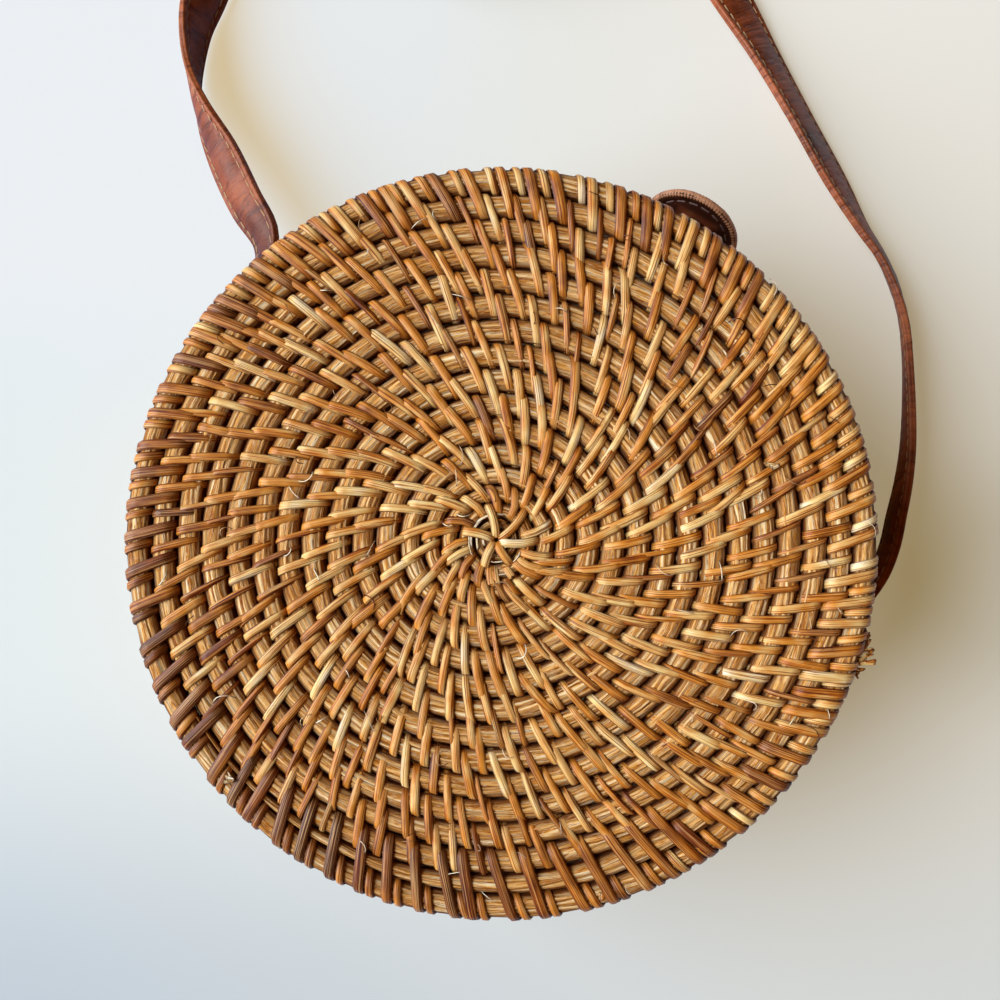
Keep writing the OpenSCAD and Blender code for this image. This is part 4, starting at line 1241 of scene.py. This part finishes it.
patch = {
    "length": 34, "height": 22, "corner": 4.5, "thickness": 1.6, "radius": 100.2, "middle": 19.3,
    "places": {"left": 184, "right": -4}, "stitchInset": 2.1, "stitchSunk": .12,
}
studPatch = {
    "diameter": 16, "thickness": .8, "middle": (0, 100.7, 47.25), "cornerCut": .3, "seamCut": .05,
    "stitchInset": 1.5, "stitchSpacing": 3, "stitchLength": 2, "threadThickness": .5,
}
tab = {
    "width": 29.5, "length": 50.9, "tip": 14.7, "corner": 5, "thickness": 2.5, "bottom": 9.7,
    "wallGap": 101.55, "bendStart": 14, "bendEnd": 26, "lean": 22,
    "inEdge": .6, "startInEdge": .3, "inEdgeThickness": .88,  # how the strip lies inside its rolled edge
    "edge": 1.15, "edgeRidge": .1, "edgeBetween": .6, "edgeTick": .95, "edgeCuts": 11, "edgeWearAndSheen": .85,
    "flat": .8,  # the rolled edge is a little flat
    "stitchInset": 3.1, "stitchSunk": .2, "snapPlace": 37.6, "snapHole": 3.3, "snapCuts": 32,
}
# The leather's border: shares of its thickness by how far in from the border, round the sewing groove
leather = {"rounded": [(0, .5), (.3, .86), (.8, 1)], "groove": [(-.5, 1), (-.25, .74), (.25, .74), (.5, 1)],
           "cuts": (.3, .8), "grooveCuts": (-.55, -.28, 0, .28, .8), "lengthwise": (-.25, 0, .25),
           "cornerCuts": 9, "leastThickness": .02,
           # The border is rubbed and painted lighter, partly as a painted highlight, and the underside is raw
           # and painted nearly black, partly as painted shade
           "wornTo": 1.1, "wornOver": .9, "mostWorn": .8, "rawRate": 4, "mostRaw": .9}


def selectWhere(piece, kind, test):
    bpy.ops.object.mode_set(mode="EDIT")
    bpy.ops.mesh.select_mode(type="FACE" if kind == "polygons" else "VERT")
    bpy.ops.mesh.select_all(action="DESELECT")
    bpy.ops.object.mode_set(mode="OBJECT")
    for part in getattr(piece.data, kind):
        part.select = test(part)
    bpy.ops.object.mode_set(mode="EDIT")


# A rounded outline as places and ways, pushed inwards and cut evenly. near and far are the corners' radii
def roundedOutline(width, length, near, far, inset, spacing):
    path = []
    half = width / 2
    for x, y, radius, start in ((near - half, near, near, 180), (half - near, near, near, 270),
                                (half - far, length - far, far, 0), (far - half, length - far, far, 90)):
        for turn in np.radians(start + np.linspace(0, 90, 16)):
            path.append((x + (radius - inset) * math.cos(turn), y + (radius - inset) * math.sin(turn)))
    path = np.array(path + path[:1])
    reach = reachAlong(path)
    places = interpAll(np.linspace(0, reach[-1], round(reach[-1] / spacing) + 1), reach, path)
    ahead = np.roll(places[:-1], -1, axis=0) - np.roll(places[:-1], 1, axis=0)
    return places, unit(np.vstack([ahead, ahead[:1]]))


# A flat piece of leather with a rounded border and a sewing groove. Lines are cut across it where it bends
def cutLeather(name, width, length, near, far, thickness, stitchInset, bends=()):
    clearSelection()
    bpy.ops.mesh.primitive_plane_add(size=1, location=(0, length * mm / 2, 0))
    piece = nameActive(name)
    piece.scale = (width * mm, length * mm, 1)
    bpy.ops.object.transform_apply(location=True, rotation=False, scale=True)
    for radius, end in ((near, 0), (far, length)):
        selectWhere(piece, "vertices", lambda corner: abs(corner.co.y / mm - end) < .01)
        bpy.ops.mesh.bevel(offset=radius * mm, segments=leather["cornerCuts"], affect="VERTICES")
        bpy.ops.object.mode_set(mode="OBJECT")
    selectWhere(piece, "polygons", lambda face: True)
    before = 0
    for border in [*leather["cuts"], *[stitchInset + cut for cut in leather["grooveCuts"]]]:
        bpy.ops.mesh.inset(thickness=(border - before) * mm)
        before = border
    cuts = [((0, y * mm, 0), (0, 1, 0)) for y in bends]
    for place, way in cuts + [((x * width * mm, 0, 0), (1, 0, 0)) for x in leather["lengthwise"]]:
        bpy.ops.mesh.select_all(action="SELECT")
        bpy.ops.mesh.bisect(plane_co=place, plane_no=way)
    bpy.ops.object.mode_set(mode="OBJECT")
    outline, _ = roundedOutline(width, length, near, far, 0, .5)

    def fromBorder(x, y):
        return np.min(np.hypot(outline[:, 0] - x, outline[:, 1] - y))

    # How thick the leather is depends on how far a point lies from the border
    group = piece.vertex_groups.new(name="thickness")
    groove = [(stitchInset + place, part) for place, part in leather["groove"]]
    inset, share = zip(*leather["rounded"], *groove)
    for corner in piece.data.vertices:
        away = fromBorder(corner.co.x / mm, corner.co.y / mm)
        group.add([corner.index], float(np.interp(away, inset, share)), "REPLACE")
    thicken = piece.modifiers.new("thickness", "SOLIDIFY")
    thicken.thickness = thickness * mm
    thicken.offset = 0
    thicken.vertex_group = "thickness"
    thicken.thickness_vertex_group = leather["leastThickness"]
    bpy.ops.object.modifier_apply(modifier="thickness")
    bpy.ops.object.mode_set(mode="EDIT")
    outwardFaces()
    spots, corners = readVertices(piece.data)
    spots = spots / mm
    piece.data.uv_layers.active.data.foreach_set("uv", spots[corners][:, [1, 0]].ravel())
    away = np.array([fromBorder(x, y) for x, y, _ in spots])
    # The border is painted lighter, partly rubbed wear and partly a painted highlight
    worn = (leather["wornTo"] - away) / leather["wornOver"]
    addMark(piece.data, "wear", np.clip(worn, 0, leather["mostWorn"]))
    # The underside is painted nearly black: its raw colour, deepened as painted shade where the tab's inner
    # face lies in shade
    raw = -spots[:, 2] / thickness * leather["rawRate"]
    addMark(piece.data, "inside", np.clip(raw, 0, leather["mostRaw"]))
    return piece, spots


def movePoints(piece, spots):
    piece.data.vertices.foreach_set("co", (spots * mm).ravel())
    piece.data.update()
    smoothOnly(piece, limits["leatherEdge"])


# Thread stitches at flat places on a piece that is bent by the function onto
def sewFlat(places, ways, level, onto, side=1):
    level = np.full((len(places), 1), level)
    start = onto(np.hstack([places, level]))
    ahead = onto(np.hstack([places + ways * .1, level])) - start
    outs = onto(np.hstack([places, level + side])) - start
    return start[:-1], ahead[:-1], outs[:-1]


# Flat leather places, across, along and out, on the bag's side at a given angle
def ontoSide(spots, angle):
    turn = math.radians(angle) + spots[:, 0] / patch["radius"]
    radius = patch["radius"] + spots[:, 2]
    height = patch["middle"] - patch["height"] / 2 + spots[:, 1]
    return np.stack([radius * np.cos(turn), radius * np.sin(turn), height], axis=1)


def ontoStud(spots):
    x, y, z = studPatch["middle"]
    return np.stack([x - spots[:, 0], y + spots[:, 2], z - studPatch["diameter"] / 2 + spots[:, 1]], axis=1)


def makePatches():
    size = (patch["length"], patch["height"], patch["corner"], patch["corner"])
    for side, angle in patch["places"].items():
        piece, spots = cutLeather("strap_patch_leather_" + side, *size, patch["thickness"],
                                  patch["stitchInset"])
        movePoints(piece, ontoSide(spots, angle))
        finishPiece(piece, "back_tray", strapMaterial, "strap_leather", "strap_patch_" + side)
        places, ways = roundedOutline(*size, patch["stitchInset"], strap["stitchSpacing"])
        level = patch["thickness"] / 2 - patch["stitchSunk"]
        sewn = sewFlat(places, ways, level, lambda spots: ontoSide(spots, angle))
        stitching = layThread("strap_patch_stitching_" + side, *sewn, strap["stitchLength"],
                              strap["threadThickness"])
        finishPiece(stitching, "back_tray", threadMaterial, "strap_leather")
    across = studPatch["diameter"]
    corner = across / 2 - studPatch["cornerCut"]
    piece, spots = cutLeather("stud_patch_leather", across, across, corner, corner, studPatch["thickness"],
                              studPatch["stitchInset"])
    movePoints(piece, ontoStud(spots))
    finishPiece(piece, "front_tray", tabMaterial, "tab_leather", "stud_patch")
    corner = across / 2 - studPatch["seamCut"]
    places, ways = roundedOutline(across, across, corner, corner, studPatch["stitchInset"],
                                  studPatch["stitchSpacing"])
    sewn = sewFlat(places, ways, studPatch["thickness"] / 2, ontoStud)
    stitching = layThread("stud_patch_stitching", *sewn, studPatch["stitchLength"],
                          studPatch["threadThickness"])
    finishPiece(stitching, "front_tray", threadMaterial, "tab_leather")
    print("patches made")


# The tab's way up from the bag's side, over its bend and outwards. Places are across, along and out
def ontoTab(spots):
    along = np.linspace(-2, tab["length"] + 2, 400)
    bent = smooth(np.clip((along - tab["bendStart"]) / (tab["bendEnd"] - tab["bendStart"]), 0, 1))
    lean = np.radians(tab["lean"]) * bent
    step = along[1] - along[0]
    out = tab["wallGap"] + np.cumsum(np.sin(lean)) * step
    up = tab["bottom"] - 2 + np.concatenate([[0], np.cumsum(np.cos(lean[:-1]))]) * step
    out, up, lean = [np.interp(spots[:, 1], along, values) for values in (out, up, lean)]
    return np.stack([-spots[:, 0], out + spots[:, 2] * np.cos(lean), up - spots[:, 2] * np.sin(lean)], axis=1)


# The tab's inner side is opened for the snap
def openTab(piece):
    place, inwards = ontoTab(np.array([[0, tab["snapPlace"], 0], [0, tab["snapPlace"], -1.]]))
    clearSelection()
    bpy.ops.mesh.primitive_cylinder_add(vertices=tab["snapCuts"], radius=tab["snapHole"] * mm,
                                        depth=2 * tab["thickness"] * mm,
                                        location=(place + (inwards - place) * tab["thickness"]) * mm,
                                        rotation=(math.pi / 2 - math.radians(tab["lean"]), 0, 0))
    cutter = bpy.context.active_object
    opened = piece.modifiers.new("opened", "BOOLEAN")
    opened.operation = "DIFFERENCE"
    opened.object = cutter
    clearSelection()
    bpy.context.view_layer.objects.active = piece
    piece.select_set(True)
    bpy.ops.object.modifier_apply(modifier="opened")
    bpy.ops.object.shade_smooth_by_angle(angle=math.radians(limits["leatherEdge"]))
    bpy.data.objects.remove(cutter)


# A rolled edge runs all round the tab, ticked by the creasing tool
def makeTabEdge():
    spacing = tab["edgeTick"] / 3
    places, ways = roundedOutline(tab["width"], tab["length"], tab["corner"], tab["tip"],
                                  tab["edge"] * tab["flat"], spacing)
    turn = np.linspace(0, fullTurn, tab["edgeCuts"])
    swell = tab["edge"] + tab["edgeRidge"] * np.where(np.arange(len(places)) % 3 == 0, -1, tab["edgeBetween"])
    swell[-1] = swell[0]
    swell = swell[:, None]
    sideways = np.stack([ways[:, 1], -ways[:, 0]], axis=1)
    flat = (swell * np.cos(turn))[..., None] * sideways[:, None] * tab["flat"] + places[:, None]
    rings = np.concatenate([flat, (swell * np.sin(turn))[..., None]], axis=2)
    points = ontoTab(rings.reshape(-1, 3)).reshape(rings.shape)
    points[-1] = points[0]
    # The rolled edge is painted lighter, partly rubbed wear and partly a painted highlight
    return wrapGrid("tab_rolled_edge", points, np.arange(len(places)) * spacing, turn * tab["edge"],
                    wear=tab["edgeWearAndSheen"])


def makeTab():
    start, end = tab["bendStart"], tab["bendEnd"]
    bends = [*np.arange(4, start, 5), *np.arange(start, end + .1, 1.2),
             *np.arange(end + 4, tab["length"] - 2, 5)]
    less = tab["inEdge"]
    piece, spots = cutLeather("tab_leather_strip", tab["width"] - 2 * less, tab["length"] - less,
                              tab["corner"], tab["width"] / 2 - 2 * less,
                              tab["thickness"] * tab["inEdgeThickness"], tab["stitchInset"] - less, bends)
    movePoints(piece, ontoTab(spots + [0, tab["startInEdge"], 0]))
    openTab(piece)
    edge = makeTabEdge()
    places, ways = roundedOutline(tab["width"], tab["length"], tab["corner"], tab["tip"], tab["stitchInset"],
                                  strap["stitchSpacing"])
    level = tab["thickness"] * tab["inEdgeThickness"] / 2 - tab["stitchSunk"]
    sewn = [sewFlat(places, ways, face * level, ontoTab, face) for face in (-1, 1)]
    stitching = layThread("tab_stitching", *[np.vstack(parts) for parts in zip(*sewn)], strap["stitchLength"],
                          strap["threadThickness"])
    cadParts = ("tab_root", "flap_leather_outer", "flap_leather_inner")
    for part, material, nodes in ((piece, tabMaterial, cadParts), (edge, tabMaterial, ()),
                                  (stitching, tabThreadMaterial, ())):
        part.data.materials.clear()
        part.data.materials.append(material)
        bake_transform(part)
        if nodes:
            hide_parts(*nodes)
    print("tab made")


# Hinge

hinge = {
    "axis": (-103.5, 40), "rod": 1.5, "length": 45, "rodCuts": 37, "softEnd": .12,
    "loopRadius": 2.3, "loopWidth": 1.72, "loopThickness": .8, "loopEnd": 325, "strips": (-1.65, 0, 1.65),
    "tail": 13.5, "tailStations": 8,
    "peg": 32.75, "pegStrips": (-1.1, 1.1), "pegReach": 3.3, "pegBow": 2.6, "pegInset": .35, "pegWidth": 2.,
    "trays": (("back", 1, (-16, 0, 16)), ("front", -1, (-8, 8))),
}


def makeHinge():
    random = np.random.default_rng(71)
    y0, z0 = hinge["axis"]
    radius, thickness, tail = hinge["loopRadius"], hinge["loopThickness"], hinge["tailStations"]
    turn = np.radians(np.linspace(0, hinge["loopEnd"], loopStations - tail))
    y = y0 + radius * np.concatenate([np.ones(tail), np.cos(turn)])
    z = np.concatenate([np.linspace(-hinge["tail"], -.5, tail), radius * np.sin(turn)])
    out = np.concatenate([np.tile([1., 0.], (tail, 1)), np.stack([np.cos(turn), np.sin(turn)], axis=1)])
    bow = y0 + radius - thickness - hinge["pegInset"] + hinge["pegBow"] * np.abs(endToEnd) ** 6
    slope = np.gradient(bow, hinge["pegReach"] * endToEnd)
    for side, flip, places in hinge["trays"]:
        body = side + "_tray"
        normal = np.stack([0 * y, out[:, 0], flip * out[:, 1]], axis=1)
        paths = [np.stack([np.full(len(y), x + offset + random.uniform(-.08, .08)), y, z0 + flip * z], axis=1)
                 for x in places for offset in hinge["strips"]]
        count = len(paths)
        layCane(side + "_hinge_strips", body, (np.array(paths), np.tile(normal, (count, 1, 1))),
                hinge["loopWidth"], thickness, np.clip(random.normal(.4, .1, count), 0, 1),
                random.uniform(0, .2, count), strip=loopStrip, nodes=["hinge_loops_" + side])
        # Short strips bind each tail to the side
        paths = []
        for x in places:
            for offset in hinge["pegStrips"]:
                height = z0 + flip * (hinge["peg"] - z0 + offset) + random.uniform(-.15, .15) + .3 * endToEnd
                paths.append(np.stack([x + hinge["pegReach"] * endToEnd, bow, height], axis=1))
        count = len(paths)
        normal = unit(np.stack([slope, 0 * slope - 1, 0 * slope], axis=1))
        layCane(side + "_hinge_binding", body, (np.array(paths), np.tile(normal, (count, 1, 1))),
                hinge["pegWidth"], thickness, np.clip(random.normal(.3, .1, count), 0, 1),
                random.uniform(0, .15, count))
    # The pin is a peeled cane with soft ends
    x = np.linspace(-hinge["length"] / 2, hinge["length"] / 2, hinge["rodCuts"])
    turn = np.linspace(0, fullTurn, 13)
    swell = hinge["rod"] * (1 - hinge["softEnd"] * (np.abs(x) / x[-1]) ** 30)
    swell = (swell + wander(x - x[0], 1, 12, random)[:, 0] * .05)[:, None]
    rings = np.broadcast_arrays(x[:, None], y0 + swell * np.cos(turn), z0 + swell * np.sin(turn))
    rings = np.stack(rings, axis=2)
    tips = np.tile([[[x[0], y0, z0]], [[x[-1], y0, z0]]], (1, len(turn), 1))
    rings = np.concatenate([tips[:1], rings, tips[1:]])
    pin = wrapGrid("hinge_pin", rings, np.concatenate([x[:1], x, x[-1:]]), turn * hinge["rod"],
                   tone=.45, blush=.1, stain=0.)
    finishPiece(pin, "back_tray", caneMaterial, "cane_wrap", "hinge_rod")
    print("hinge made")


# Loose fibres

fibre = {"count": 90, "length": (3, 8), "width": (.14, .34), "reach": 96, "free": .3, "dark": .4,
         "tufts": 11, "tuftWidth": (.35, 1.15), "tuftThickness": .22}
# Split ends stand out beside the rim and on the face, as in the photograph: place in it, way, reach, spread,
# height and tone
frays = [
    ((857, 654), 38, 6, .9, 3, .34), ((858, 662), 15, 4.8, .8, 3.2, .46),
    ((853, 668), -38, 3.2, .8, 3.4, .44), ((775, 465), 200, 3.5, .6, 0, .1),
    ((238, 777), 165, 3, .5, -.6, .12), ((600, 888), 290, 2, .6, .6, .3),
]


# Fibres come up out of a gap, bow over the surface and go down again or end free
def makeFibres(tray):
    random = np.random.default_rng(tray["seed"] + 500)
    count = fibre["count"]
    radius = fibre["reach"] * np.sqrt(random.uniform(.01, 1, count))
    turn = random.uniform(0, fullTurn, count)
    length = random.uniform(*fibre["length"], (count, 1))
    heading = random.uniform(0, fullTurn, (count, 1))
    bend = random.normal(0, 1.8, (count, 1))
    rise = random.uniform(.3, 1.1, (count, 1)) * (tray["flip"] < 0)  # the back lies on the table
    free = random.random((count, 1)) < fibre["free"]
    along = np.linspace(0, 1, stitchStations)
    way = heading + bend * along
    x = (radius * np.cos(turn))[:, None] + length * np.cumsum(np.cos(way), axis=1) / stitchStations
    y = (radius * np.sin(turn))[:, None] + length * np.cumsum(np.sin(way), axis=1) / stitchStations
    down = 1.1 - np.where(free, along ** .8, np.sin(np.pi * along)) * (1.1 + rise)
    dark = random.random(count) < fibre["dark"]
    widths = random.uniform(*fibre["width"], count)
    layCane(tray["name"] + "_loose_fibres", tray["body"],
            faceWay(tray, np.hypot(x, y), down, levelTilt, np.arctan2(y, x)),
            widths, widths * .7, np.where(dark, .85, .02), 0)


def makeFrays(tray):
    random = np.random.default_rng(23)
    along = np.linspace(0, 1, stitchStations)
    tufts, tones = [], []
    for place, heading, reach, spread, height, tone in frays:
        radius, angle = placeInView(*place)
        for _ in range(fibre["tufts"]):
            # The heading is seen in the photograph, counted from its right-hand side
            way = math.radians(-heading - studio["cameraTurn"] + random.normal(0, 13))
            bend = random.normal(0, .25)
            long = reach * random.uniform(.5, 1.1)
            start = random.normal(0, spread * .4, 2)
            x = radius * math.cos(angle) + start[0] + long * along * np.cos(way + bend * along)
            y = radius * math.sin(angle) + start[1] + long * along * np.sin(way + bend * along)
            down = height + random.uniform(0, 1.6) + random.uniform(-.8, .5) * along
            tones.append(tone + random.uniform(-.15, .15))
            tufts.append((np.hypot(x, y), down, np.arctan2(y, x)))
    radius, down, angle = [np.array(parts) for parts in zip(*tufts)]
    layCane(tray["name"] + "_frayed_ends", tray["body"], faceWay(tray, radius, down, levelTilt, angle),
            random.uniform(*fibre["tuftWidth"], len(tones)), fibre["tuftThickness"], tones,
            random.uniform(0, .15, len(tones)))
    print("frayed ends made")


for tray in (frontTray, backTray):
    makeCores(tray)
    makeCentreStrips(tray)
    makeRimStitches(tray, *makeFaceStitches(tray))
    makeWallStitches(tray)
    makeLining(tray)
    makeFibres(tray)
makeFrays(frontTray)
makePatches()
makeTab()
makeHinge()

# Rivets, their washers and the snap keep their CAD shapes
for name in ("strap_rivets_left", "strap_rivets_right", "strap_washers_left", "strap_washers_right",
             "tab_rivets", "tab_washers", "snap_stud", "stud_washer", "snap_cap", "snap_socket"):
    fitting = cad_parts[name]
    fitting.data.materials.clear()
    fitting.data.materials.append(brassMaterial)
print("fittings finished")

for shape in (stitchStrip, loopStrip, threadStitch):
    bpy.data.objects.remove(shape)
